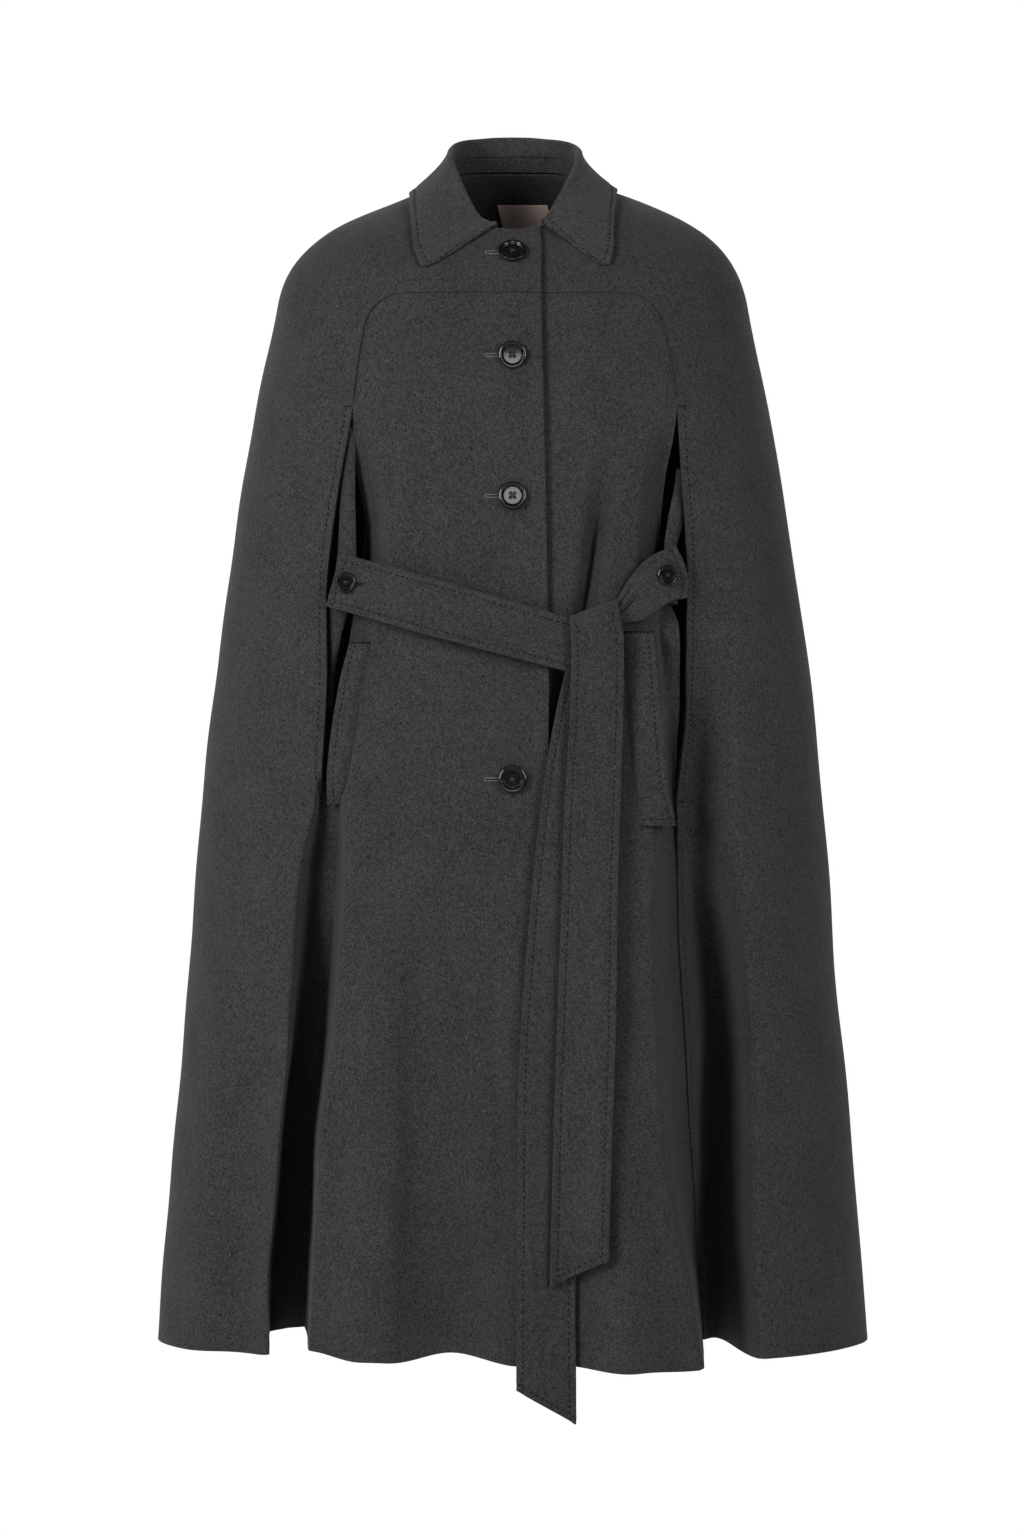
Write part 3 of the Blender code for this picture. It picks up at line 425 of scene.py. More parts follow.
WELT_SHADE_CORD = 0.0010  # painted shade: a near-black cord along a welt's top that stands for the dark gap of its seam, and how far out it lies
WELT_SHADE_CORD_RAISE = 0.0010
WELT_SHADE_CORD_COLUMN = 2
STAY_BOW = 0.0025
WELT_BLEND = 0.008  # how soon the welt's inner edge sinks into the front
LABEL_X = (-0.015, 0.034)
LABEL_T = (0.24, 0.52)
LABEL_LEAN = 0.009  # its sides lean towards the wearer's left on the way down
LABEL_GAP = 0.0010
LABEL_ROWS = 24
LABEL_COLUMNS = 30
LABEL_SEARCH_DEG = (130.0, 230.0)  # the part of the back that it is looked for on
LABEL_SEARCH_STEPS = 300

# Rows and columns of the shells
FINE = 420
EDGE_BAND = 0.012
FRONT_COLUMNS = (6, 48, 24, 3)  # edge band, face, wall of the valley, its floor
CAPE_COLUMNS = (3, 26, 54)
BACK_COLUMNS = (64,)
YOKE_COLUMNS = 34
SHOULDER_ROWS = 44
CORNER_ROWS = 7
CHEST_ROWS = 14
SLIT_ROWS = 62
SKIRT_ROWS = 82
SLIT_TOP_ROW = CORNER_ROWS + CHEST_ROWS
HEM_BAND = 0.014
HEM_ROWS = 7
COLLAR_HALF_COLUMNS = 90
COLLAR_LEAF_ROWS = 14
BAND_COLUMNS = 110
BAND_ROWS = 25
TAIL_ROWS = 190
WELT_ROWS = 40
WELT_COLUMNS = 14
STAY_ROWS = 60
STAY_COLUMNS = 9

# Sewing: small sunken stitches along the edges, with a shallow groove under them
STITCH_SPACING = 0.0054
STITCH_LENGTH = 0.0029
STITCH_WIDTH = 0.0018
STITCH_HEIGHT = 0.0012
STITCH_JITTER = 0.16
STITCH_WOBBLE = 0.25
EDGE_STITCH = 0.0062  # how far in from an edge
GROOVE_DEPTH = 0.0009
GROOVE_HALF_WIDTH = 0.0040
SEED = 7


def smooth(t):
    """0 below 0, 1 above 1, and an even S between: 3 t squared less 2 t cubed."""
    t = np.clip(t, 0.0, 1.0)
    return t * t * (3.0 - 2.0 * t)


def fade(t):
    """The S the other way: 1 below 0, 0 above 1."""
    return 1.0 - smooth(t)


def bump(q):
    """A round hump: half a cosine wave, 1 at 0 and gone at plus and minus 1."""
    return np.where(np.abs(q) < 1.0, 0.5 + 0.5 * np.cos(np.pi * np.clip(q, -1.0, 1.0)), 0.0)


def through(at, knots, values):
    """A cubic through a table's rows whose slopes are harmonic means, so that it never swings past them."""
    knots = np.asarray(knots, float)
    values = np.asarray(values, float)
    step = np.diff(knots)
    rise = np.diff(values) / step
    product = rise[:-1] * rise[1:]
    total = np.where(product > 0.0, rise[:-1] + rise[1:], 1.0)
    slope = np.concatenate([rise[:1], np.where(product > 0.0, 2.0 * product / total, 0.0), rise[-1:]])
    i = np.clip(np.searchsorted(knots, at) - 1, 0, len(step) - 1)
    t = np.clip((np.asarray(at, float) - knots[i]) / step[i], 0.0, 1.0)
    start = values[i] * (1.0 + 2.0 * t) * (1.0 - t) ** 2 + values[i + 1] * t * t * (3.0 - 2.0 * t)
    return start + step[i] * (slope[i] * t * (1.0 - t) ** 2 - slope[i + 1] * t * t * (1.0 - t))


def curve(at, table, over, field):
    """A smooth curve through one column of a table over another."""
    return through(at, [getattr(row, over) for row in table], [getattr(row, field) for row in table])


def unit(vectors):
    """Vectors divided by their own lengths."""
    return vectors / np.linalg.norm(vectors, axis=-1, keepdims=True)


# The drape

def section(drop, field):
    """One size of the level sections at a height."""
    return curve(drop, SECTIONS, "drop", field)


def oval(angle, drop):
    """A squarish oval at each height: sine and cosine raised to 2 over its power, times its reaches."""
    across = np.sin(angle)
    ahead = np.cos(angle)
    x = section(drop, "half_width") * np.sign(across) * np.abs(across) ** (2.0 / OVAL_POWER)
    reach = np.where(ahead > 0.0, -section(drop, "front"), section(drop, "back"))
    y = reach * np.abs(ahead) ** (2.0 / OVAL_POWER)
    return np.stack(np.broadcast_arrays(x, y, -np.asarray(drop, float)), axis=-1)


def angle_of(x, drop):
    """The angle at which the front half of the oval reaches x: the oval's formula turned round."""
    share = np.clip(np.abs(x) / section(drop, "half_width"), 0.0, 1.0)
    return np.sign(x) * np.arcsin(share ** (OVAL_POWER / 2.0))


def growth(drop, start_drop):
    """0 down to a height, 1 at the hem, an even S between."""
    return smooth((drop - start_drop) / (HEM_DROP - start_drop))


def drape(angle, drop):
    """The oval with round humps added: folds along Y in front, flutes outwards at the sides and the back."""
    point = oval(angle, drop)
    spread = section(drop, "half_width") / SECTIONS[-1].half_width
    for fold in FRONT_FOLDS:
        near = bump((point[..., 0] / spread - fold.x) / fold.half_width) * (np.cos(angle) > 0.0)
        point[..., 1] -= fold.forward * growth(drop, fold.start_drop) * near
        point[..., 2] += fold.lift * growth(drop, HEM_RISE_START) * near
    for flute in FLUTES:
        near = bump((np.degrees(np.abs(angle)) - flute.angle_deg) / flute.half_width_deg)
        out = flute.out * growth(drop, flute.start_drop) * near
        point[..., 0] += out * np.sin(angle)
        point[..., 1] -= out * np.cos(angle)
    return point


def valley(side, drop, field):
    """One size of a side's valley at a height."""
    return curve(drop, side.valley, "drop", field)


def seam_x(side, drop):
    """How far out the seam and slit run: a curve through their heights, less a quarter circle at the yoke."""
    line = through(
        drop,
        [YOKE_DROP, side.top_drop] + [row.drop for row in side.valley],
        [side.yoke_x, side.top_x] + [row.seam_x for row in side.valley],
    )
    radius = YOKE_CORNER_RADIUS
    rest = np.clip(radius - (drop - YOKE_DROP), 0.0, radius)
    return line - (radius - np.sqrt(radius * radius - rest * rest))


def slit_share(side, drop):
    """0 at the slit's top, 1 at its foot."""
    return np.clip((drop - side.top_drop) / (side.foot_drop - side.top_drop), 0.0, 1.0)


def opening(side, drop, field):
    """How far the cloth stands away from the seam line along the slit: a curve through its table."""
    return curve(slit_share(side, drop), side.openings, "share", field)


def front_edge_x(side, drop):
    """How far out the front's edge lies."""
    return seam_x(side, drop) - opening(side, drop, "front")


def cape_edge_x(side, drop):
    """How far out the cape side's edge lies."""
    return seam_x(side, drop) + opening(side, drop, "cape")


def lap_x(drop):
    """How far the overlap's edge lies from the middle: an S from its place at the neck to that at the waist."""
    return LAP_NECK_X + (LAP_WAIST_X - LAP_NECK_X) * smooth((drop - LAP_BEND_DROP) / LAP_BEND_HEIGHT)


def wall_share(side, away, floor, wall):
    """1 on the valley's floor, 0 past its wall, an S or a straighter slope between."""
    q = np.clip((away - floor) / wall, 0.0, 1.0)
    return 1.0 - smooth(q) - side.crisp * (q - smooth(q))


def front_set_back(side, away, drop):
    """How far the front is drawn back beside the seam, and turned in along the slit: a wall on a narrow floor."""
    share = slit_share(side, drop)
    keep = 1.0 - (1.0 - side.turn_keep) * smooth((share - TURN_EASE_SHARE) / TURN_EASE_SPAN)
    keep = keep - BELT_HOLD * side.turn_keep * bump((share - BELT_SHARE) / BELT_SPAN)
    grown = smooth((share - side.front_from) / (side.front_full - side.front_from))
    depth = valley(side, drop, "seam_depth") * grown + side.turn_depth * np.sin(np.pi * share) * keep
    return depth * wall_share(side, away, valley(side, drop, "front_floor"), valley(side, drop, "front_wall"))


def cape_set_back(side, away, drop):
    """The same on the cape's side, where the deepest line may lie away from the seam."""
    at_seam = valley(side, drop, "seam_depth")
    shift = valley(side, drop, "shift")
    depth = at_seam + (valley(side, drop, "deepest") - at_seam) * smooth(away / np.maximum(shift, LEAST_SHIFT))
    floor = shift + valley(side, drop, "cape_floor")
    ramp = smooth((slit_share(side, drop) - side.cape_from) / (side.cape_full - side.cape_from))
    return depth * ramp * fade((away - floor) / valley(side, drop, "cape_wall"))


def undercut(side, back, drop):
    """How far the valley's cloth is moved out: a share of its depth, so that its walls lean under the cape."""
    return side.sign * side.undercut * back * smooth((drop - side.foot_drop) / UNDERCUT_HEIGHT)


def sewn(side, drop):
    """1 where front and cape side are sewn together, 0 along the slit."""
    past_top = smooth((drop - side.top_drop + SLIT_END) / SLIT_END)
    return 1.0 - past_top * fade((drop - side.foot_drop) / SLIT_END)


def hem_lift(side, away, drop, width):
    """How far the hem rises beside the seam: a round hump that grows towards the hem."""
    return side.hem_rise * bump(away / width) * growth(drop, HEM_RISE_START)


def under_lap(x, drop):
    """How far the under front lies behind the overlap: a step that grows to the hem and fades to the side."""
    step = UNDER_LAP + (UNDER_LAP_HEM - UNDER_LAP) * growth(drop, YOKE_DROP)
    return step * fade((x - LAP_WAIST_X) / OVERLAP_FADE)


# Grids of points

def lengths(grid):
    """How far each point lies along its row: the running sum of the steps between points."""
    steps = np.linalg.norm(np.diff(grid, axis=1), axis=2)
    return np.concatenate([np.zeros((len(grid), 1)), np.cumsum(steps, axis=1)], axis=1)


def row_interp(at, known, values):
    """Straight-line interpolation of every row at once, with the rows set end to end on one axis."""
    at = np.clip(at, known[:, :1], known[:, -1:])
    span = (known[:, -1:] - known[:, :1]).max() + 1.0
    shift = span * np.arange(len(known))[:, None] - known[:, :1]
    return np.interp((at + shift).ravel(), (known + shift).ravel(), values.ravel()).reshape(at.shape)


def spaced(line, marks, counts):
    """Rows of points as columns, evenly spaced by length between marks."""
    along = lengths(line)
    stops = np.concatenate([np.zeros((len(line), 1)), marks, along[:, -1:]], axis=1)
    steps = np.diff(stops, axis=1)
    runs = [
        stops[:, k : k + 1] + steps[:, k : k + 1] * np.linspace(0.0, 1.0, n, endpoint=False)
        for k, n in enumerate(counts)
    ]
    at = np.concatenate(runs + [stops[:, -1:]], axis=1)
    return np.stack([row_interp(at, along, line[..., k]) for k in range(3)], axis=-1)


def outward(points):
    """Level unit vectors away from the coat's upright middle."""
    away = points - np.array([0.0, AXIS_Y, 0.0])
    return unit(away * np.array([1.0, 1.0, 0.0]))


def grid_normals(grid):
    """Cross products of the steps along columns and rows, turned to the outer side of the coat."""
    normal = unit(np.cross(np.gradient(grid, axis=1), np.gradient(grid, axis=0)))
    return normal * np.sign(np.sum(normal * outward(grid)))


def settle(points):
    """The cloth's slight unevenness: sine waves of position, added along the outward direction."""
    height = 0.0
    for row in RIPPLES:
        turns = points[..., 0] * row.per_x + points[..., 1] * row.per_y + points[..., 2] * row.per_z
        height = height + row.height * np.sin(2.0 * np.pi * turns + row.phase)
    return points + outward(points) * height[..., None]


def crease_depth(x, drop, table):
    """Sum of soft troughs: a round hump across each run, faded in and out along it."""
    depth = 0.0
    for row in table:
        run = np.array([row.x1 - row.x0, row.drop1 - row.drop0])
        size = np.hypot(*run)
        along = ((x - row.x0) * run[0] + (drop - row.drop0) * run[1]) / size**2
        off = ((x - row.x0) * run[1] - (drop - row.drop0) * run[0]) / size
        width = np.where(off < 0.0, row.left, row.right)
        ends = smooth(along / CREASE_START) * smooth((1.0 - along) / CREASE_END)
        depth = depth + row.depth * bump(off / width) * ends
    return depth


def edge_distance(grid, edge):
    """How far each point lies from a grid's edge, along its row or its column."""
    if edge in ("top", "foot"):
        along = lengths(grid.transpose(1, 0, 2)).T
        return along if edge == "top" else along[-1:] - along
    along = lengths(grid)
    return along if edge == "start" else along[:, -1:] - along


def grooved(grid, edges):
    """A grid with a shallow groove pressed in along the named edges, where the stitches lie."""
    depth = 0.0
    for edge in edges:
        off = edge_distance(grid, edge) - EDGE_STITCH
        depth = np.maximum(depth, GROOVE_DEPTH * bump(off / GROOVE_HALF_WIDTH))
    return grid - grid_normals(grid) * depth[..., None]


def inset_line(grid, edge):
    """The line of stitches on a grid, at their distance inside one edge, with its outward normals."""
    normals = grid_normals(grid)
    if edge in ("top", "foot"):
        grid = grid.transpose(1, 0, 2)
        normals = normals.transpose(1, 0, 2)
    along = lengths(grid)
    at = np.full((len(grid), 1), EDGE_STITCH) if edge in ("top", "start") else along[:, -1:] - EDGE_STITCH
    both = np.concatenate([grid, normals], axis=-1)
    line = np.concatenate([row_interp(at, along, both[..., k]) for k in range(6)], axis=-1)
    return line[:, :3], unit(line[:, 3:])


# Panels

def levels(side):
    """Heights of the rows from the yoke seam to the hem, close together at the rounded corner and the hem."""
    turn = np.linspace(0.0, np.pi / 2.0, CORNER_ROWS, endpoint=False)
    corner = YOKE_DROP + YOKE_CORNER_RADIUS * (1.0 - np.cos(turn))
    chest = np.linspace(YOKE_DROP + YOKE_CORNER_RADIUS, side.top_drop, CHEST_ROWS, endpoint=False)
    slit = np.linspace(side.top_drop, side.foot_drop, SLIT_ROWS, endpoint=False)
    skirt = np.linspace(side.foot_drop, HEM_DROP - HEM_BAND, SKIRT_ROWS, endpoint=False)
    hem = np.linspace(HEM_DROP - HEM_BAND, HEM_DROP, HEM_ROWS)
    return np.concatenate([corner, chest, slit, skirt, hem])[:, None]


def front_grid(side):
    """A front: the drape from its overlap edge to the slit, its edge drawn back and turned in, then creased."""
    drop = levels(side)
    edge = front_edge_x(side, drop)
    first = angle_of(-side.sign * lap_x(drop), drop)
    last = angle_of(side.sign * edge, drop)
    line = drape(first + (last - first) * np.linspace(0.0, 1.0, FINE), drop)
    reach = line[..., 0] * side.sign
    away = edge - reach
    back = front_set_back(side, away, drop)
    line[..., 0] += undercut(side, back, drop)
    line[..., 1] += back
    line[..., 2] += hem_lift(side, away, drop, side.front_rise_width)
    if side.sign > 0:
        line[..., 1] += under_lap(line[..., 0], drop)
    foot = edge - valley(side, drop, "front_floor")
    wall = valley(side, drop, "front_wall")
    corners = row_interp(np.concatenate([foot - wall, foot], axis=1), reach, lengths(line))
    marks = np.concatenate([np.full_like(drop, EDGE_BAND), corners], axis=1)
    grid = spaced(line, marks, FRONT_COLUMNS)
    grid[..., 1] += crease_depth(grid[..., 0], -grid[..., 2], FRONT_CREASES)
    if side.sign > 0:
        grid[..., 1] += crease_depth(grid[..., 0], -grid[..., 2], KNOT_GAP)
    else:
        grid[..., 1] -= EDGE_LIFT * fade(edge_distance(grid, "start") / EDGE_BAND)
    step = fade((drop - YOKE_DROP) / YOKE_STEP_HEIGHT)
    step = np.maximum(step, sewn(side, drop) * fade(edge_distance(grid, "end") / YOKE_STEP_HEIGHT))
    grid[..., 1] += YOKE_STEP * step
    return grid


def cape_rows(side, drop):
    """Level rows of a cape side from the slit or seam to the side seam: the drape with its edge drawn back."""
    edge = cape_edge_x(side, drop)
    first = angle_of(side.sign * edge, drop)
    angle = first + (side.sign * SIDE_SEAM_ANGLE - first) * np.linspace(0.0, 1.0, FINE)
    line = drape(angle, drop)
    away = np.where(np.cos(angle) > 0.0, line[..., 0] * side.sign - edge, 1.0)
    half = FINE // 2
    ahead = line[:, :half, 0] * side.sign
    back = cape_set_back(side, away, drop)
    line[..., 0] += undercut(side, back, drop)
    line[..., 1] += back
    line[..., 2] += hem_lift(side, away, drop, CAPE_RISE_WIDTH)
    foot = edge + valley(side, drop, "cape_floor")
    outer = foot + valley(side, drop, "shift") + valley(side, drop, "cape_wall")
    marks = row_interp(np.concatenate([foot, outer], axis=1), ahead, lengths(line)[:, :half])
    grid = spaced(line, marks, CAPE_COLUMNS)
    ridge = SEAM_RIDGE * bump(edge_distance(grid, "start") / RIDGE_WIDTH) * sewn(side, drop)
    return grid + outward(grid) * ridge[..., None]


def back_rows(side, drop):
    """Level rows of one back half, from the side seam to the centre back."""
    angle = np.linspace(side.sign * SIDE_SEAM_ANGLE, side.sign * math.pi, FINE)
    return spaced(drape(angle[None, :], drop), np.empty((len(drop), 0)), BACK_COLUMNS)


def neck(angle):
    """The neck loop: an ellipse from above, whose height is two cosines, low in front and high at the back."""
    mean = (NECK_BACK_RISE - NECK_FRONT_DROP) / 2.0
    swing = (NECK_BACK_RISE + NECK_FRONT_DROP) / 2.0
    sway = (mean - NECK_SIDE_RISE) / 2.0
    x = NECK_HALF_WIDTH * np.sin(angle)
    y = NECK_CENTRE_Y - NECK_HALF_DEPTH * np.cos(angle)
    z = mean - sway - swing * np.cos(angle) + sway * np.cos(2.0 * angle)
    return np.stack([x, y, z], axis=-1)


RING_KNOTS = [0.0, *(float(angle_of(row.ring_x, YOKE_DROP)) for row in NECK_TIES), SIDE_SEAM_ANGLE, math.pi]
NECK_KNOTS = [0.0, *(math.radians(row.neck_deg) for row in NECK_TIES), SIDE_SEAM_ANGLE, math.pi]


def neck_above(ring_angle):
    """The neck loop's angle above an angle of the yoke's ring."""
    return np.sign(ring_angle) * through(np.abs(ring_angle), RING_KNOTS, NECK_KNOTS)


def ring_below(neck_angle):
    """The yoke ring's angle below an angle of the neck loop."""
    return np.sign(neck_angle) * through(np.abs(neck_angle), NECK_KNOTS, RING_KNOTS)


def shoulder(ring_angle, t):
    """Bezier curves from the neck loop (t = 0) over the shoulder to the level ring at the yoke (t = 1)."""
    at_neck = neck_above(ring_angle)
    start = neck(at_neck)
    ring = drape(ring_angle, YOKE_DROP)
    below = drape(ring_angle, YOKE_DROP + RING_STEP)
    ahead = np.cos(at_neck)
    most = np.where(ahead > 0.0, FRONT_STEEP_DEG, BACK_STEEP_DEG)
    least = np.where(ring_angle > 0.0, LEFT_STEEP_DEG, RIGHT_STEEP_DEG)
    steep = np.radians(least + (most - least) * ahead**2)
    away = np.stack([np.sin(at_neck) * np.cos(steep), -ahead * np.cos(steep), -np.sin(steep)], axis=-1)
    reach = np.linalg.norm(ring - start, axis=-1, keepdims=True)
    first = start + away * NECK_PULL * reach
    squarer = np.where(ring_angle > 0.0, LEFT_SHOULDER_PULL, RIGHT_SHOULDER_PULL) * np.sin(at_neck) ** 4
    second = ring + unit(ring - below) * (YOKE_PULL + squarer[..., None]) * reach
    t = np.asarray(t, float)[..., None]
    early = start * (1.0 - t) ** 3 + first * 3.0 * t * (1.0 - t) ** 2
    return early + second * 3.0 * t * t * (1.0 - t) + ring * t**3


def shoulder_normal(ring_angle, t):
    """Cross product of small steps down and along the shoulder cloth."""
    small = 0.002
    along = shoulder(ring_angle + small, t) - shoulder(ring_angle - small, t)
    down = shoulder(ring_angle, t + small) - shoulder(ring_angle, t - small)
    return unit(np.cross(down, along))


def shoulder_out(ring_angle, t, distance):
    """Points at a distance off the shoulder cloth, along its normals."""
    ring_angle, t = np.broadcast_arrays(ring_angle, t)
    return shoulder(ring_angle, t) + shoulder_normal(ring_angle, t) * distance


def ring_angles(points):
    """Angles of points on the level ring at the yoke: the oval's formula turned round."""
    reach = np.where(points[:, 1] < 0.0, section(YOKE_DROP, "front"), section(YOKE_DROP, "back"))
    ahead = -np.sign(points[:, 1]) * (np.abs(points[:, 1]) / reach) ** (OVAL_POWER / 2.0)
    return np.sign(points[:, 0]) * np.arccos(np.clip(ahead, -1.0, 1.0))


def shoulder_grid(angles, ring):
    """Rows from the neck loop to the ring."""
    grid = shoulder(angles[None, :], np.linspace(0.0, 1.0, SHOULDER_ROWS)[:, None])
    grid[-1, len(angles) - len(ring) :] = ring
    return grid


def cape_shoulder(side, ring):
    """The part of a cape side above the yoke seam: the yoke and the shoulder in one."""
    past = ring_angles(cape_rows(side, np.array([[YOKE_DROP]]))[0])
    over = np.linspace(angle_of(-side.sign * lap_x(YOKE_DROP), YOKE_DROP), past[0], YOKE_COLUMNS, endpoint=False)
    grid = shoulder_grid(np.concatenate([over, past]), ring)
    if side.sign > 0:
        grid[..., 1] += under_lap(grid[..., 0], YOKE_DROP)
    else:
        grid[..., 1] -= EDGE_LIFT * fade(edge_distance(grid, "start") / EDGE_BAND)
    corner = fade((np.arange(grid.shape[1]) - YOKE_COLUMNS + RIDGE_END) / RIDGE_END_FADE)
    ridge = SEAM_RIDGE * bump(edge_distance(grid, "foot") / RIDGE_WIDTH) * corner
    return grid + outward(grid) * ridge[..., None]


def back_grid(side):
    """A back half: shoulder curves above the ring and level rows below it, then creased."""
    lower = back_rows(side, np.concatenate([
        np.linspace(YOKE_DROP, HEM_DROP - HEM_BAND, CHEST_ROWS + SLIT_ROWS + SKIRT_ROWS, endpoint=False),
        np.linspace(HEM_DROP - HEM_BAND, HEM_DROP, HEM_ROWS),
    ])[:, None])
    upper = shoulder_grid(ring_angles(back_rows(side, np.array([[YOKE_DROP]]))[0]), lower[0])
    grid = np.concatenate([upper[:-1], lower])
    grid[..., 1] -= crease_depth(grid[..., 0], -grid[..., 2], BACK_CREASES)
    sunk = SEAM_RIDGE * fade(edge_distance(grid, "end") / YOKE_STEP_HEIGHT)
    return grid - outward(grid) * sunk[..., None]


def front_face(x, drop):
    """The outer face of the closed fronts, folds included: what the belt and its tails lie on."""
    drop = np.minimum(drop, HEM_DROP)
    return drape(angle_of(x, drop), drop)[..., 1] - CLOTH / 2.0


def face_normal(face, x, drop):
    """Outward normal of a surface given as y over x and drop, from its slopes."""
    small = 0.004
    slope_x = (face(x + small, drop) - face(x - small, drop)) / (2.0 * small)
    slope_z = -(face(x, drop + small) - face(x, drop - small)) / (2.0 * small)
    return unit(np.stack([slope_x, -np.ones_like(slope_x), slope_z], axis=-1))


# Materials

CURL_SCALE = 560.0  # the short curls of the nap, per metre
FIBRE_SCALE = 1200.0
CLOUD_SCALE = 26.0  # slow changes of tone
FIBRE_SHARE = 0.40
CLOUD_SHARE = 0.07
NAP_LIE = (1.0, 1.0, 0.72)  # the nap is brushed downwards, so that it is longer that way
BELT_LIE = (0.78, 1.0, 1.0)  # and along the belt
HORN_GRAIN = (1.0, 1.0, 4.0)
WOOL_DARK = (0.009, 0.009, 0.0089)
WOOL_LIGHT = (0.098, 0.098, 0.0961)
# Painted light: a lighter copy of the same wool for the collar's fall, standing for the extra light and sheen that
# the collar catches
COLLAR_LIT_DARK = (0.011, 0.011, 0.0109)
COLLAR_LIT_LIGHT = (0.122, 0.122, 0.1196)


def add_node(tree, kind, links=None, **values):
    """A shader node with its properties and sockets set, fed by the given outputs."""
    node = tree.nodes.new(kind)
    for key, value in values.items():
        if hasattr(node, key):
            setattr(node, key, value)
        else:
            node.inputs[key.replace("_", " ")].default_value = value
    for key, output in (links or {}).items():
        tree.links.new(output, node.inputs[key])
    return node


def new_material(name, **values):
    """A material with its shader's sockets set."""
    material = bpy.data.materials.new(name)
    material.use_nodes = True
    shader = material.node_tree.nodes["Principled BSDF"]
    for key, value in values.items():
        shader.inputs[key.replace("_", " ")].default_value = value
    return material, material.node_tree, shader


def on_coat(tree, stretch=(1.0, 1.0, 1.0)):
    """Places on the coat, stretched along its axes."""
    place = add_node(tree, "ShaderNodeTexCoord").outputs["Object"]
    return add_node(tree, "ShaderNodeMapping", {"Vector": place}, Scale=stretch).outputs["Vector"]


def noise(tree, place, **values):
    """The value of a noise pattern at places on the coat."""
    return add_node(tree, "ShaderNodeTexNoise", {"Vector": place}, **values).outputs["Fac"]


def mixed(tree, share, first, second):
    """Two values mixed, with the second one's share."""
    links = {"A": first, "B": second}
    return add_node(tree, "ShaderNodeMix", links, data_type="FLOAT", Factor=share).outputs["Result"]


def colour(tree, shader, value, dark, light, low=0.0, high=1.0):
    """The shader's colour: from dark to light as a pattern's value goes from low to high."""
    ramp = add_node(tree, "ShaderNodeValToRGB", {"Fac": value})
    for element, place, tone in zip(ramp.color_ramp.elements, (low, high), (dark, light)):
        element.position = place
        element.color = (*tone, 1.0)
    tree.links.new(ramp.outputs["Color"], shader.inputs["Base Color"])


def relief(tree, shader, *layers):
    """The shader's relief: bumps from patterns' values, each with its strength and height, one on another."""
    links = {}
    for value, strength, height in layers:
        links["Height"] = value
        bumps = add_node(tree, "ShaderNodeBump", links, Strength=strength, Distance=height)
        links["Normal"] = bumps.outputs["Normal"]
    tree.links.new(links["Normal"], shader.inputs["Normal"])


def wool_material(name, dark, light, lie=NAP_LIE):
    """Napped wool: short wiggly curls, single fibres and slow clouds in colour, the first two in relief too."""
    material, tree, shader = new_material(
        name, Roughness=0.92, Specular_IOR_Level=0.25, Sheen_Weight=0.12, Sheen_Roughness=0.55
    )
    place = on_coat(tree, lie)
    curl = noise(tree, place, Scale=CURL_SCALE, Detail=2.5, Roughness=0.6, Distortion=1.6)
    fibre = noise(tree, place, Scale=FIBRE_SCALE, Detail=2.0, Roughness=0.6)
    cloud = noise(tree, place, Scale=CLOUD_SCALE, Detail=3.0, Roughness=0.55)
    nap = mixed(tree, CLOUD_SHARE, mixed(tree, FIBRE_SHARE, curl, fibre), cloud)
    colour(tree, shader, nap, dark, light, 0.36, 0.64)
    relief(tree, shader, (curl, 0.55, 0.0010), (fibre, 0.4, 0.0004))
    return material


def thread_material(name, dark, light):
    """Sewing thread: fine ply marks in colour and relief."""
    material, tree, shader = new_material(name, Roughness=0.75)
    ply = noise(tree, on_coat(tree), Scale=2600.0, Detail=2.0, Distortion=0.6)
    colour(tree, shader, ply, (dark, dark, dark), light)
    relief(tree, shader, (ply, 0.4, 0.0002))
    return material


def horn_material(name):
    """Polished dark horn: slow streaks in colour, fine scratches in gloss."""
    material, tree, shader = new_material(name, Specular_IOR_Level=0.50)
    place = on_coat(tree, HORN_GRAIN)
    streak = noise(tree, place, Scale=90.0, Detail=4.0, Distortion=1.2)
    colour(tree, shader, streak, (0.005, 0.005, 0.0053), (0.026, 0.025, 0.025), 0.35, 0.75)
    scratch = noise(tree, place, Scale=1400.0, Detail=2.0)
    gloss = add_node(tree, "ShaderNodeMapRange", {"Value": scratch}, To_Min=0.10, To_Max=0.20)
    tree.links.new(gloss.outputs["Result"], shader.inputs["Roughness"])
    return material


def satin_material(name):
    """Label satin: fine floats across in colour and relief, with a soft sheen."""
    material, tree, shader = new_material(name, Roughness=0.42, Sheen_Weight=0.2)
    wave = {"bands_direction": "Z", "Scale": 420.0, "Distortion": 1.5, "Detail": 2.0}
    floats = add_node(tree, "ShaderNodeTexWave", {"Vector": on_coat(tree)}, **wave).outputs["Fac"]
    colour(tree, shader, floats, (1.0, 0.72, 0.63), (1.0, 0.86, 0.79))
    relief(tree, shader, (floats, 0.25, 0.0002))
    return material


WOOL = wool_material("charcoal_wool_cloth", WOOL_DARK, WOOL_LIGHT)
# The collar's copy of the wool is lighter, to paint in the extra light and sheen on the collar's fall.
COLLAR_PAINTED_LIGHT_WOOL = wool_material("charcoal_wool_collar_painted_light", COLLAR_LIT_DARK, COLLAR_LIT_LIGHT)
BELT_WOOL = wool_material("charcoal_wool_belt", WOOL_DARK, WOOL_LIGHT, BELT_LIE)
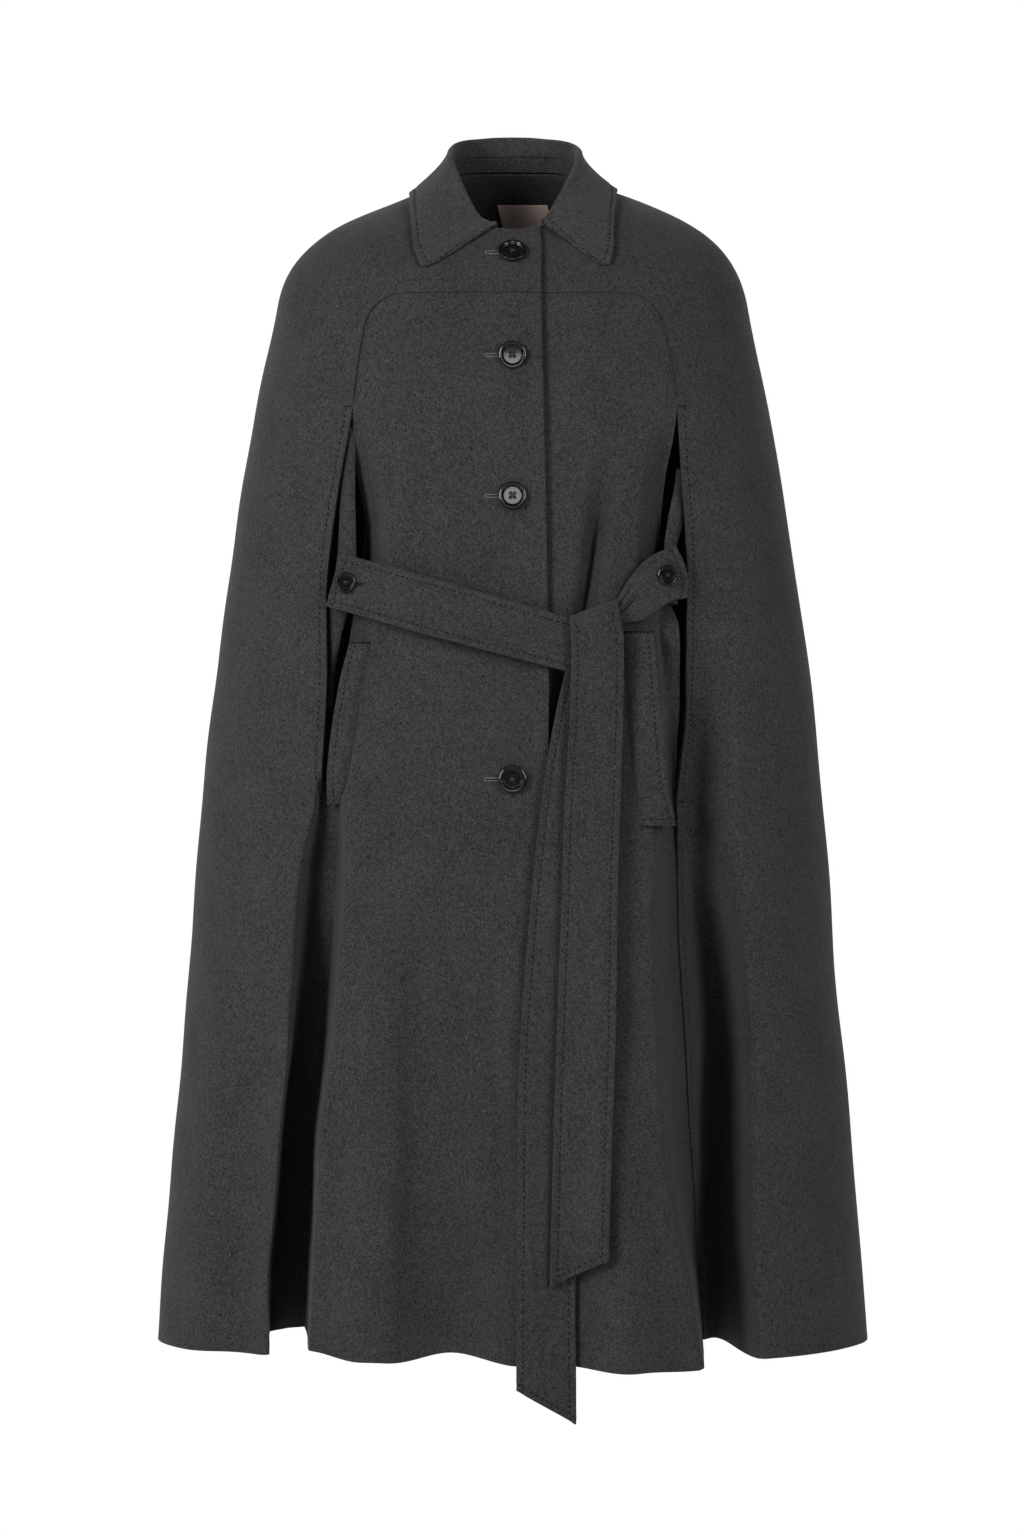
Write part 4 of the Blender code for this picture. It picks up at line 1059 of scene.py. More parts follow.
# Near-black thread for the stitches, bar tacks and the belt's buttonhole; the same material also serves as painted
# shade in the buttonholes' slits and along the welts' tops.
STITCH_THREAD_AND_SHADE = thread_material("stitch_thread_and_painted_shade", 0.003, (0.009, 0.009, 0.009))
HOLE_THREAD = thread_material("buttonhole_thread", 0.09, (0.22, 0.22, 0.216))
BUTTON_THREAD = thread_material("button_thread", 0.03, (0.10, 0.10, 0.098))
HORN = horn_material("dark_horn_polish")
SATIN = satin_material("label_satin_weave")


# Meshes

def joined(blocks):
    """Points and square faces of several grids, with points that two grids share counted once."""
    points = np.concatenate([grid.reshape(-1, 3) for grid in blocks])
    _, first, index = np.unique(np.round(points, 6), axis=0, return_index=True, return_inverse=True)
    faces = []
    start = 0
    for grid in blocks:
        count, columns = grid.shape[:2]
        ids = index.reshape(-1)[start : start + count * columns].reshape(count, columns)
        corners = [ids[:-1, :-1], ids[:-1, 1:], ids[1:, 1:], ids[1:, :-1]]
        faces.append(np.stack(corners, axis=-1).reshape(-1, 4))
        start += count * columns
    return points[first], np.concatenate(faces).tolist()


def add_piece(name, points, faces, material, slot, nodes=()):
    """A mesh piece in its place that rides on the coat and stands for its solids."""
    mesh = bpy.data.meshes.new(name)
    mesh.from_pydata(points.tolist(), [], faces)
    mesh.materials.append(material)
    mesh.shade_smooth()
    piece = bpy.data.objects.new(name, mesh)
    bpy.context.scene.collection.objects.link(piece)
    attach(piece, "root")
    if nodes:
        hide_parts(*nodes)
    return piece


def add_small(name, parts, material, slot="charcoal_wool", nodes=()):
    """Several small meshes as one piece."""
    points = np.concatenate([part for part, _ in parts])
    starts = np.cumsum([0] + [len(part) for part, _ in parts]).tolist()
    faces = [[k + start for k in face] for start, (_, part) in zip(starts, parts) for face in part]
    return add_piece(name, points, faces, material, slot, nodes)


def cloth(node, blocks, thickness=CLOTH, material=WOOL, slot="charcoal_wool"):
    """One cut piece: joined grids with the cloth's thickness and soft edges; the length of its grids is summed but
    not used.
    """
    piece = add_piece(node + "_cloth", *joined(blocks), material, slot, [node])
    wall = piece.modifiers.new("wall", "SOLIDIFY")
    wall.thickness = thickness
    wall.offset = 0.0
    edge = piece.modifiers.new("soft_edge", "BEVEL")
    edge.width = min(EDGE_ROUNDING, thickness / 3.0)
    edge.segments = 2
    edge.limit_method = "ANGLE"
    edge.angle_limit = math.radians(60.0)
    length = sum(lengths(grid.transpose(1, 0, 2))[:, -1].max() for grid in blocks)


def ring_faces(count, steps, looped=False):
    """Square faces between rings of points, numbered ring by ring; a loop's last ring meets its first."""
    here = np.arange(steps)
    after = (here + 1) % steps
    start = (np.arange(count if looped else count - 1) * steps)[:, None]
    following = (start + steps) % (count * steps)
    corners = [start + here, start + after, following + after, following + here]
    return np.stack(corners, axis=-1).reshape(-1, 4)


def fan(first, steps, pole, turned=False):
    """Three-cornered faces from a ring, which starts at a number, to a pole."""
    here = np.arange(steps)
    faces = np.stack([first + here, first + (here + 1) % steps, np.full(steps, pole)], axis=-1)
    return faces[:, [1, 0, 2]] if turned else faces


def capped_faces(count, steps):
    """Faces of rings that are closed by a pole below the first and one above the last."""
    foot = fan(0, steps, count * steps, True)
    top = fan((count - 1) * steps, steps, count * steps + 1)
    return ring_faces(count, steps).tolist() + foot.tolist() + top.tolist()


def bead_points():
    """A small ball of unit radius: six points round at three heights, and two poles."""
    turn = np.arange(6) * np.pi / 3.0
    tilt = np.radians([-45.0, 0.0, 45.0])[:, None]
    axes = np.cos(tilt) * np.cos(turn), np.cos(tilt) * np.sin(turn), np.sin(tilt)
    ring = np.stack(np.broadcast_arrays(*axes), axis=-1)
    return np.concatenate([ring.reshape(-1, 3), [[0.0, 0.0, -1.0], [0.0, 0.0, 1.0]]])


BEAD_POINTS = bead_points()
BEAD_FACES = capped_faces(3, 6)
DRAWS = np.random.default_rng(SEED)


def line_at(at, along, values):
    """A line's points or vectors at distances along it."""
    return np.stack([np.interp(at, along, values[:, k]) for k in range(3)], axis=-1)


def along_line(points, normals):
    """Places at even steps along a line, moved a little to and fro, with the directions on and out of it."""
    along = lengths(points[None])[0]
    count = max(2, int(along[-1] / STITCH_SPACING))
    at = (np.arange(count) + 0.5 + STITCH_JITTER * DRAWS.uniform(-1.0, 1.0, count)) * along[-1] / count
    out = unit(line_at(at, along, normals))
    ahead = line_at(at, along, np.gradient(points, along, axis=0))
    ahead = unit(ahead - out * np.sum(ahead * out, axis=-1, keepdims=True))
    return line_at(at, along, points), ahead, out


def stitches(name, grid, edges, thickness=CLOTH):
    """Sewn dots inside a grid's edges: unit beads stretched along them and sunk half into the outer face."""
    places = [along_line(*inset_line(grid, edge)) for edge in edges]
    centre, ahead, out = (np.concatenate(values) for values in zip(*places))
    side = np.cross(out, ahead)
    wobble = 1.0 + STITCH_WOBBLE * DRAWS.uniform(-1.0, 1.0, (len(centre), 1, 1))
    body = BEAD_POINTS * (np.array([STITCH_LENGTH, STITCH_WIDTH, STITCH_HEIGHT]) / 2.0)
    spread = body[:, 0:1] * ahead[:, None] * wobble + body[:, 1:2] * side[:, None] + body[:, 2:3] * out[:, None]
    beads = (centre + out * thickness / 2.0)[:, None] + spread
    add_small(name, [(bead, BEAD_FACES) for bead in beads], STITCH_THREAD_AND_SHADE)


TUBE_UPRIGHT = np.array([0.12, -1.0, 0.07])  # a direction that no thread or cord runs in


def tube(path, radius, sides=8, looped=False):
    """A round profile carried along a path: rings square to it, joined, and closed at the ends by points."""
    if looped:
        ahead = unit(np.roll(path, -1, axis=0) - np.roll(path, 1, axis=0))
    else:
        ahead = unit(np.gradient(path, axis=0))
    first = unit(np.cross(ahead, TUBE_UPRIGHT))
    second = np.cross(first, ahead)
    turn = np.arange(sides) * 2.0 * np.pi / sides
    radius = np.broadcast_to(radius, (len(path),))[:, None, None]
    ring = np.cos(turn)[None, :, None] * first[:, None] + np.sin(turn)[None, :, None] * second[:, None]
    points = (path[:, None] + ring * radius).reshape(-1, 3)
    count = len(path)
    faces = ring_faces(count, sides, looped)[:, ::-1].tolist()
    if not looped:
        points = np.concatenate([points, path[:1], path[-1:]])
        faces += fan(0, sides, count * sides).tolist()
        faces += fan((count - 1) * sides, sides, count * sides + 1, True).tolist()
    return points, faces


# The coat's panels

BAR_START = 0.0002
BAR_LENGTH = 0.0085
BAR_RADIUS = 0.0007
BAR_STEPS = 12


def bar_tacks(name, grid):
    """Short sewn bars across the ends of a slit, level, on the cape's outer face."""
    normals = grid_normals(grid)
    at = np.linspace(BAR_START, BAR_LENGTH, BAR_STEPS)
    bars = []
    for row in (SLIT_TOP_ROW, SLIT_TOP_ROW + SLIT_ROWS):
        along = lengths(grid[row : row + 1])[0]
        path = line_at(at, along, grid[row]) + line_at(at, along, normals[row]) * (CLOTH / 2.0)
        bars.append(tube(path, BAR_RADIUS))
    add_small(name, bars, STITCH_THREAD_AND_SHADE)


def make_panels():
    """Fronts, cape sides and backs, with bars and stitches along the slits."""
    for word, side in SIDES:
        cloth("front_" + word, [settle(front_grid(side))])
        lower = cape_rows(side, levels(side))
        upper = settle(cape_shoulder(side, lower[0]))
        lower = settle(lower)
        cloth("cape_side_" + word, [upper, lower])
        cloth("back_" + word, [settle(back_grid(side))])
        bar_tacks("bar_tacks_" + word, lower)
        stitches("edge_stitches_" + word, lower[SLIT_TOP_ROW:], ["start"])


# Collar

def collar_columns():
    """Column by column: neck angle, how far the roll has opened, and the outer edge's ring angle and share."""
    shares = np.linspace(0.0, 1.0, COLLAR_HALF_COLUMNS) ** COLLAR_CROWDING
    edge_ring = np.radians(curve(shares, COLLAR_EDGE, "share", "ring_deg"))
    edge_t = curve(shares, COLLAR_EDGE, "share", "t")
    rest = np.clip(1.0 - shares / COLLAR_TIP_SHARE, 0.0, 1.0)
    reach = 1.0 - COLLAR_TIP_CUT * (1.0 - np.sqrt(1.0 - rest * rest))
    halves = []
    for sign, end in ((-1, COLLAR_RIGHT_END_DEG), (1, COLLAR_LEFT_END_DEG)):
        degrees = end + (180.0 - end) * shares
        opened = smooth((degrees - end) / (STAND_OPEN_DEG - end))
        spread = np.radians(COLLAR_LEFT_SPREAD) * fade(shares / COLLAR_SPREAD_SHARE) * (sign > 0)
        dip = COLLAR_LEFT_DIP * fade(shares / COLLAR_DIP_SHARE) * (sign > 0)
        angle = sign * np.radians(degrees)
        halves.append(np.stack([angle, opened, sign * (edge_ring + spread), edge_t, reach, dip]))
    return np.concatenate([halves[0], halves[1][:, -2::-1]], axis=1)


def curved_rows(lines, steps):
    """Catmull-Rom curves through a grid's rows, each gap cut into steps."""
    padded = np.concatenate([2.0 * lines[:1] - lines[1:2], lines, 2.0 * lines[-1:] - lines[-2:-1]])
    p0, p1, p2, p3 = padded[:-3, None], padded[1:-2, None], padded[2:-1, None], padded[3:, None]
    t = np.linspace(0.0, 1.0, steps, endpoint=False)[None, :, None, None]
    early = 2.0 * p1 + (p2 - p0) * t + (2.0 * p0 - 5.0 * p1 + 4.0 * p2 - p3) * t**2
    curved = 0.5 * (early + (3.0 * p1 - p0 - 3.0 * p2 + p3) * t**3)
    return np.concatenate([curved.reshape(-1, *lines.shape[1:]), lines[-1:]])


def make_collar():
    """The stand rises from the neck loop; the fall rises on, rolls over a half round and lies on the shoulders."""
    angle, opened, edge_ring, edge_t, reach, dip = collar_columns()
    base = neck(angle)
    up = np.array([0.0, 0.0, 1.0])
    out = np.stack([np.sin(angle), -np.cos(angle), np.zeros_like(angle)], axis=-1)
    degrees = np.degrees(np.abs(angle))
    height, right, left = (
        curve(degrees, COLLAR_ROLL, "neck_deg", field)[:, None] for field in ("height", "lean_right", "lean_left")
    )
    lean = np.where(angle[:, None] < 0.0, right, left)
    stand_top = (STAND_END_HEIGHT + (STAND_HEIGHT - STAND_END_HEIGHT) * opened)[:, None]
    radius = (ROLL_END_RADIUS + (ROLL_RADIUS - ROLL_END_RADIUS) * opened)[:, None]
    rise = up - out * lean / height
    shares = np.linspace(0.0, 1.0, STAND_ROWS)[:, None, None]
    stand = base + rise * (STAND_FOOT + (stand_top - STAND_FOOT) * shares)
    cloth("collar_stand", [settle(stand)])

    crest = base + rise * height
    lines = [base + rise * (stand_top + REST_GAP), crest, crest + out * radius + up * ROLL_RISE * radius]
    leaf_start = crest + out * 2.0 * radius
    for share in np.linspace(0.0, 1.0, COLLAR_LEAF_ROWS):
        part = share * reach
        ring = ring_below(angle) + (edge_ring - ring_below(angle)) * part
        sag = dip * bump((part - COLLAR_DIP_MIDDLE) / COLLAR_DIP_MIDDLE)
        laid = shoulder_out(ring, edge_t * part + sag, COLLAR_CLEARANCE)
        fallen = LEAF_STRAIGHT * part + (1.0 - LEAF_STRAIGHT) * smooth(part)
        lines.append(leaf_start + (laid - leaf_start) * fallen[:, None])
    edges = ["start", "end", "foot"]
    fall = grooved(settle(curved_rows(np.stack(lines), ROLL_STEPS)), edges)
    cloth("collar_fall", [fall], material=COLLAR_PAINTED_LIGHT_WOOL)
    stitches("collar_stitches", fall[4 * ROLL_STEPS :], edges)


# Belt

def table_columns(table, count):
    """Every column of a table at evenly spaced places between its rows."""
    at = np.linspace(0.0, len(table) - 1.0, count)
    return [through(at, np.arange(len(table)), values) for values in zip(*table)]


def on_fronts(x, drop, out, face_drop=None):
    """Points of the belt's middle layer at a distance from the closed fronts."""
    y = front_face(x, drop if face_drop is None else face_drop) - out - BELT_CLOTH / 2.0
    return np.stack([x, y, -drop], axis=-1)


def band_grid(table):
    """A strip along its middle line, square to it, at its distance from the fronts."""
    x, drop, width, out = table_columns(table, BAND_COLUMNS)
    way = np.stack([np.gradient(x), np.gradient(drop)]) / np.hypot(np.gradient(x), np.gradient(drop))
    over = np.linspace(-0.5, 0.5, BAND_ROWS)[:, None] * width
    return settle(on_fronts(x - over * way[1], drop + over * way[0], out))


def gathered_grid(table):
    """A strip between its two edges, pleated and rolled where the knot gathers it, its free end bowed out."""
    top_x, top_drop, foot_x, foot_drop, out = table_columns(table, BAND_COLUMNS)
    across = np.linspace(0.0, 1.0, BAND_ROWS)[:, None]
    along = np.linspace(0.0, 1.0, BAND_COLUMNS)
    bulge = BAND_LEFT_BULGE * np.sin(np.pi * across) * smooth((along - BULGE_START) / (1.0 - BULGE_START))
    x = top_x + (foot_x - top_x) * across + bulge
    drop = top_drop + (foot_drop - top_drop) * across
    sunk = EDGE_ROLL * np.abs(2.0 * across - 1.0) ** 4
    for row in PLEATS:
        sunk = sunk + row.depth * bump((across - row.across + row.drift * along) / row.half_width)
    grid = on_fronts(x, drop, out)
    grid[..., 1] += sunk * fade((along - GATHER_START) / GATHER_FADE)
    return settle(grid)


def tail_grid(table):
    """A hanging strip: level rows of its width at its distance from the fronts, its lower end cut aslant."""
    x, drop, width, out, slant = table_columns(table, TAIL_ROWS)
    across = np.linspace(-0.5, 0.5, BAND_ROWS)[:, None]
    drop = drop - across * slant
    return settle(on_fronts(x + across * width, drop, out, np.maximum(drop, TAIL_LEVEL_DROP)))


def make_belt():
    """The two halves round the waist, the left one gathered into the knot, and the two hanging ends."""
    band_edges = ["top", "foot", "start"]
    tail_edges = ["top", "foot", "end"]
    for word, grid, sewn_edges in (
        ("right", band_grid(BAND_RIGHT), band_edges),
        ("left", gathered_grid(BAND_LEFT)[:, ::-1], ["start"]),
    ):
        grid = grooved(grid, band_edges)
        cloth("belt_band_" + word, [grid], BELT_CLOTH, BELT_WOOL)
        stitches("belt_band_stitches_" + word, grid, sewn_edges, BELT_CLOTH)
    for word, table, hidden in (("short", TAIL_SHORT, KNOT_COLUMNS), ("long", TAIL_LONG, 0)):
        grid = grooved(tail_grid(table), tail_edges)
        cloth("belt_tail_" + word, [grid], BELT_CLOTH)
        stitches("belt_tail_stitches_" + word, grid[:, hidden:], tail_edges, BELT_CLOTH)


# Pockets, stays and label

def strip_grid(side, table, count, columns):
    """A strip between two curved edges at its distance behind the drape's face."""
    drop, inner_x, outer_x, back = (values[:, None] for values in table_columns(table, count))
    across = np.linspace(0.0, 1.0, columns)
    x = side.sign * (inner_x + (outer_x - inner_x) * across)
    drop = drop + 0.0 * x
    return np.stack([x, drape(angle_of(x, drop), drop)[..., 1] + back, -drop], axis=-1)


def make_welts():
    """Pocket welts: strips over the fronts whose inner edges sink in and whose outer edges stand free."""
    for (word, side), table, edges in zip(SIDES, (WELT_RIGHT, WELT_LEFT), (("end", "top"), ("end", "foot"))):
        grid = strip_grid(side, table, WELT_ROWS, WELT_COLUMNS)
        grid[..., 1] += crease_depth(grid[..., 0], -grid[..., 2], FRONT_CREASES)
        sunk = fade(edge_distance(grid, "start") / WELT_BLEND)
        lift = 0.0
        if side.sign < 0:
            sunk = np.maximum(sunk, fade(edge_distance(grid, "foot") / WELT_FADE))
        else:
            lift = WELT_LIFT * smooth(np.linspace(0.0, 1.0, WELT_COLUMNS))
        height = (CLOTH + WELT_GAP) * (1.0 - sunk) - WELT_SINK * sunk + lift
        grid = grooved(settle(grid + grid_normals(grid) * height[..., None]), ["end", "foot"])
        cloth("pocket_welt_" + word, [grid])
        stitches("pocket_stitches_" + word, grid, edges)
        # Painted shade: a near-black cord along the welt's top edge, for the seam's dark gap.
        top = (grid + grid_normals(grid) * WELT_SHADE_CORD_RAISE)[0, WELT_SHADE_CORD_COLUMN:]
        add_small("pocket_seam_shade_" + word, [tube(top, WELT_SHADE_CORD)], STITCH_THREAD_AND_SHADE)


def make_stays():
    """Strips hanging inside the slits, brought forward at the waist by the belt's ends, bowed a little."""
    for (word, side), table in zip(SIDES, (STAY_RIGHT, STAY_LEFT)):
        grid = strip_grid(side, table, STAY_ROWS, STAY_COLUMNS)
        grid[..., 1] -= STAY_BOW * np.sin(np.pi * np.linspace(0.0, 1.0, STAY_COLUMNS))
        cloth("slit_stay_" + word, [settle(grid)])


def make_label():
    """A blank label inside the back of the neck, made from the back's points moved in."""
    share = np.linspace(0.0, 1.0, LABEL_ROWS)[:, None]
    t = LABEL_T[0] + (LABEL_T[1] - LABEL_T[0]) * share
    x = np.linspace(*LABEL_X, LABEL_COLUMNS) + LABEL_LEAN * share
    fine = np.radians(np.linspace(*LABEL_SEARCH_DEG, LABEL_SEARCH_STEPS))
    around = np.where(fine > math.pi, fine - 2.0 * math.pi, fine)
    known = shoulder(around[None, :], t + 0.0 * fine)[..., 0]
    angle = row_interp(-x, -known, np.broadcast_to(fine, known.shape))
    angle = np.where(angle > math.pi, angle - 2.0 * math.pi, angle)
    inside = -(CLOTH / 2.0 + LABEL_GAP + LABEL_CLOTH / 2.0)
    grid = settle(shoulder_out(angle, t, inside))
    cloth("neck_label", [grid], LABEL_CLOTH, SATIN, "label_satin")


# Buttons and buttonholes

ButtonRing = namedtuple("ButtonRing", "out height")
BUTTON_PROFILE = rows(
    ButtonRing,
    (0.78, 0.0000),
    (0.93, 0.0003),
    (1.00, 0.0013),
    (1.00, 0.0028),
    (0.96, 0.0037),
    (0.88, 0.0041),
    (0.80, 0.0040),
    (0.74, 0.0035),
    (0.69, 0.0026),
    (0.64, 0.0022),
)
DISH = BUTTON_PROFILE[-1]
DISH_DIP = 0.0002
POLE_DIP = 0.02  # a last share of it, at the very middle
HOLE_CENTRE = 0.20  # of the four holes, from the middle, and their size, in shares of the button's radius
HOLE_SIDE = HOLE_CENTRE * 0.7071  # the same across and up
HOLE_RADIUS = 0.085
HOLE_DEPTH = 0.0016
HOLE_EDGE = 0.75  # where a hole's wall starts, and how wide it is, in its own radii
HOLE_WALL = 0.5
HOLES_INSIDE = 0.5
BUTTON_STEPS = 96
PROFILE_STEPS = 4
DISH_STEPS = 30
THREAD_ARCH = 0.0007  # how far the thread stands over the dish, and how deep it goes into the holes
THREAD_SINK = 0.0011
THREAD_STEPS = 9
STRAND_SPACING = 0.00042
STRAND_RADIUS = 0.00026


def button_mesh(radius):
    """A turned profile with a raised rim, then a dish in which four round holes are sunk."""
    turn = np.arange(BUTTON_STEPS) * 2.0 * np.pi / BUTTON_STEPS
    gaps = len(BUTTON_PROFILE) - 1
    at = np.linspace(0.0, gaps, PROFILE_STEPS * gaps + 1)
    rim_out, rim_height = (np.interp(at, np.arange(gaps + 1), values) for values in zip(*BUTTON_PROFILE))
    inner = np.linspace(DISH.out, 0.0, DISH_STEPS)[1:-1]
    dish = DISH.height - DISH_DIP * (1.0 - (inner / DISH.out) ** 2)
    out = np.concatenate([rim_out, inner])[:, None]
    x = out * np.cos(turn)
    y = out * np.sin(turn)
    z = np.concatenate([rim_height, dish])[:, None] + 0.0 * x
    for across, up in ((1, 1), (1, -1), (-1, 1), (-1, -1)):
        near = np.hypot(x - across * HOLE_SIDE, y - up * HOLE_SIDE) / HOLE_RADIUS
        z = z - HOLE_DEPTH * fade((near - HOLE_EDGE) / HOLE_WALL) * (out < HOLES_INSIDE)
    points = np.stack([x * radius, y * radius, z], axis=-1).reshape(-1, 3)
    poles = [[0.0, 0.0, 0.0], [0.0, 0.0, dish[-1] - DISH_DIP * POLE_DIP]]
    return np.concatenate([points, poles]), capped_faces(len(out), BUTTON_STEPS)


def make_button(node, radius, seat, normal, turn_deg):
    """A button on its seat, square to a normal, with crossed thread in its holes."""
    across = unit(np.cross(np.array([0.0, 0.0, 1.0]), normal))
    axes = np.stack([across, np.cross(normal, across), normal])
    seat = settle(seat[None])[0] + normal * REST_GAP
    points, faces = button_mesh(radius)
    add_small(node + "_horn", [(seat + points @ axes, faces)], HORN, "dark_horn", [node])
    angle = math.radians(turn_deg)
    span = np.linspace(-1.0, 1.0, THREAD_STEPS)
    reach = span * (HOLE_CENTRE * radius)
    arch = DISH.height - DISH_DIP + THREAD_ARCH * (1.0 - span**4) - THREAD_SINK * span**4
    strands = []
    for direction in (angle + np.pi / 4.0, angle - np.pi / 4.0):
        for shift in (-STRAND_SPACING, 0.0, STRAND_SPACING):
            x = reach * np.cos(direction) - shift * np.sin(direction)
            y = reach * np.sin(direction) + shift * np.cos(direction)
            strands.append(tube(seat + np.stack([x, y, arch], axis=-1) @ axes, STRAND_RADIUS, 6))
    add_small(node + "_thread", strands, BUTTON_THREAD)


BUTTONHOLE_X = -0.0150  # the middle of a front buttonhole, and half its length
BUTTONHOLE_HALF = 0.0100
BELT_HOLE_SHIFT = (0.0085, 0.002)  # from the belt's button, across and down
BELT_HOLE_HALF = 0.0068
BELT_HOLE_OUT = 0.0048
HOLE_HALF_HEIGHT = 0.0012
HOLE_CORD = 0.00075
HOLE_RAISE = np.array([0.0, 0.0004, 0.0])
HOLE_STEPS = 120
END_SQUARENESS = 4.0
SIDE_SQUARENESS = 3.0
WHIPS = 30.0  # turns of thread round the cord, and how far they stand out
WHIP_SHARE = 0.22
# The tube in each buttonhole's slit: painted shade, a near-black thread laid where the opening shows only shadow
SLIT_SHADE_SHARE = 0.9
SLIT_SHADE_RADIUS = 0.0008
SLIT_SHADE_TIP = 1.02
SLIT_SHADE_STEPS = 24


def buttonhole(name, surface, middle_x, half_length, drop, thread):
    """A worked buttonhole: a cord with whipped bumps round a long loop, and between them a near-black tube of
    thread, painted shade for the open slit.
    """
    turn = np.linspace(0.0, 2.0 * np.pi, HOLE_STEPS, endpoint=False)
    straight = (half_length - HOLE_HALF_HEIGHT) * np.tanh(END_SQUARENESS * np.cos(turn))
    loop_x = middle_x + straight + HOLE_HALF_HEIGHT * np.cos(turn)
    loop_drop = drop + HOLE_HALF_HEIGHT * np.tanh(SIDE_SQUARENESS * np.sin(turn))
    whip = HOLE_CORD * (1.0 + WHIP_SHARE * np.sin(turn * WHIPS))
    add_small(name + "_cord", [tube(surface(loop_x, loop_drop) - HOLE_RAISE, whip, looped=True)], thread)
    # Painted shade: a dark tube along the slit, standing for its shadow.
    run = np.linspace(-1.0, 1.0, SLIT_SHADE_STEPS)
    slit = surface(middle_x + half_length * SLIT_SHADE_SHARE * run, drop + 0.0 * run) - HOLE_RAISE
    add_small(name + "_slit_shade", [tube(slit, SLIT_SHADE_RADIUS * np.sqrt(SLIT_SHADE_TIP - run**2))], STITCH_THREAD_AND_SHADE)


def on_face(face, x, drop):
    """Points on a face that is given as y over x and drop."""
    return settle(np.stack([x, face(x, drop), -drop], axis=-1))


def yoke_surface(x, drop):
    """Points on the outer face of the yoke, found by Newton steps on the shoulder curves."""
    angle = angle_of(x, YOKE_DROP)
    t = np.full_like(angle, 0.7)
    small = 0.002
    for _ in range(8):
        here = shoulder(angle, t)
        by_angle = (shoulder(angle + small, t) - here) / small
        by_t = (shoulder(angle, t + small) - here) / small
        miss_x = x - here[..., 0]
        miss_z = -drop - here[..., 2]
        size = by_angle[..., 0] * by_t[..., 2] - by_angle[..., 2] * by_t[..., 0]
        angle = angle + (miss_x * by_t[..., 2] - miss_z * by_t[..., 0]) / size
        t = t + (miss_z * by_angle[..., 0] - miss_x * by_angle[..., 2]) / size
    return settle(shoulder_out(angle, t, CLOTH / 2.0))


def band_face(out, x, drop):
    """The outer face of a belt band at a distance from the fronts, as y over x and drop."""
    return front_face(x, drop) - out - BELT_CLOTH


def make_buttons():
    """The yoke's button, those down the front and the belt's two, with their buttonholes."""
    t = np.linspace(0.0, 1.0, 400)
    at = np.array([np.interp(YOKE_BUTTON_DROP, -shoulder(np.zeros(400), t)[:, 2], t)])
    middle = np.zeros(1)
    seat = shoulder_out(middle, at, CLOTH / 2.0)[0]
    make_button("front_button_1", BUTTON_RADIUS, seat, shoulder_normal(middle, at)[0], YOKE_BUTTON_TURN_DEG)
    size = (BUTTONHOLE_X, BUTTONHOLE_HALF)
    buttonhole("front_buttonhole_1", yoke_surface, *size, YOKE_BUTTON_DROP, HOLE_THREAD)
    for number, row in enumerate(FRONT_BUTTONS, start=2):
        seat = np.array([0.0, float(front_face(0.0, row.drop)) - BUTTON_SHANK, -row.drop])
        normal = unit(np.array([0.0, -1.0, row.lean]))
        make_button(f"front_button_{number}", BUTTON_RADIUS, seat, normal, row.turn_deg)
        buttonhole(f"front_buttonhole_{number}", partial(on_face, front_face), *size, row.drop, HOLE_THREAD)
    for word, row in (("right", BELT_BUTTON_RIGHT), ("left", BELT_BUTTON_LEFT)):
        face = partial(band_face, row.out)
        seat = np.array([row.x, float(face(row.x, row.drop)), -row.drop])
        normal = unit(face_normal(face, np.array(row.x), np.array(row.drop)) + BELT_BUTTON_TURN)
        make_button("belt_button_" + word, BELT_BUTTON_RADIUS, seat, normal, row.turn_deg)
    across, down = BELT_HOLE_SHIFT
    on_band = partial(on_face, partial(band_face, BELT_HOLE_OUT))
    hole_x = BELT_BUTTON_RIGHT.x + across
    buttonhole("belt_buttonhole", on_band, hole_x, BELT_HOLE_HALF, BELT_BUTTON_RIGHT.drop + down, STITCH_THREAD_AND_SHADE)


make_panels()
make_collar()
make_belt()
make_welts()
make_stays()
make_label()
make_buttons()


# Studio: a pale floor under the worn coat's height, large soft lights, and the camera

FLOOR_Z = -1.42
FLOOR_RINGS = (0.4, 1.2, 3.0, 7.0, 14.0)
FLOOR_STEPS = 64
PALE = (0.9, 0.9, 0.9, 1.0)
WHITE = (1.0, 1.0, 1.0, 1.0)
AMBIENT = 0.04
CAMERA_PLACE = (-0.0005, -3.4, -0.5567)
FOCAL_PIXELS = 3579.0
IMAGE_HEIGHT = 1536.0
SENSOR = 36.0
DISPLAY_GAMMA = 0.8  # a contrasty print


def seen_as(tree, lit, seen, end):
    """One shader for the camera's eye, another for the light that falls on the coat."""
    path = add_node(tree, "ShaderNodeLightPath")
    both = add_node(tree, "ShaderNodeMixShader")
    for socket, source in enumerate((path.outputs["Is Camera Ray"], lit, seen)):
        tree.links.new(source, both.inputs[socket])
    tree.links.new(both.outputs["Shader"], tree.nodes[end].inputs["Surface"])


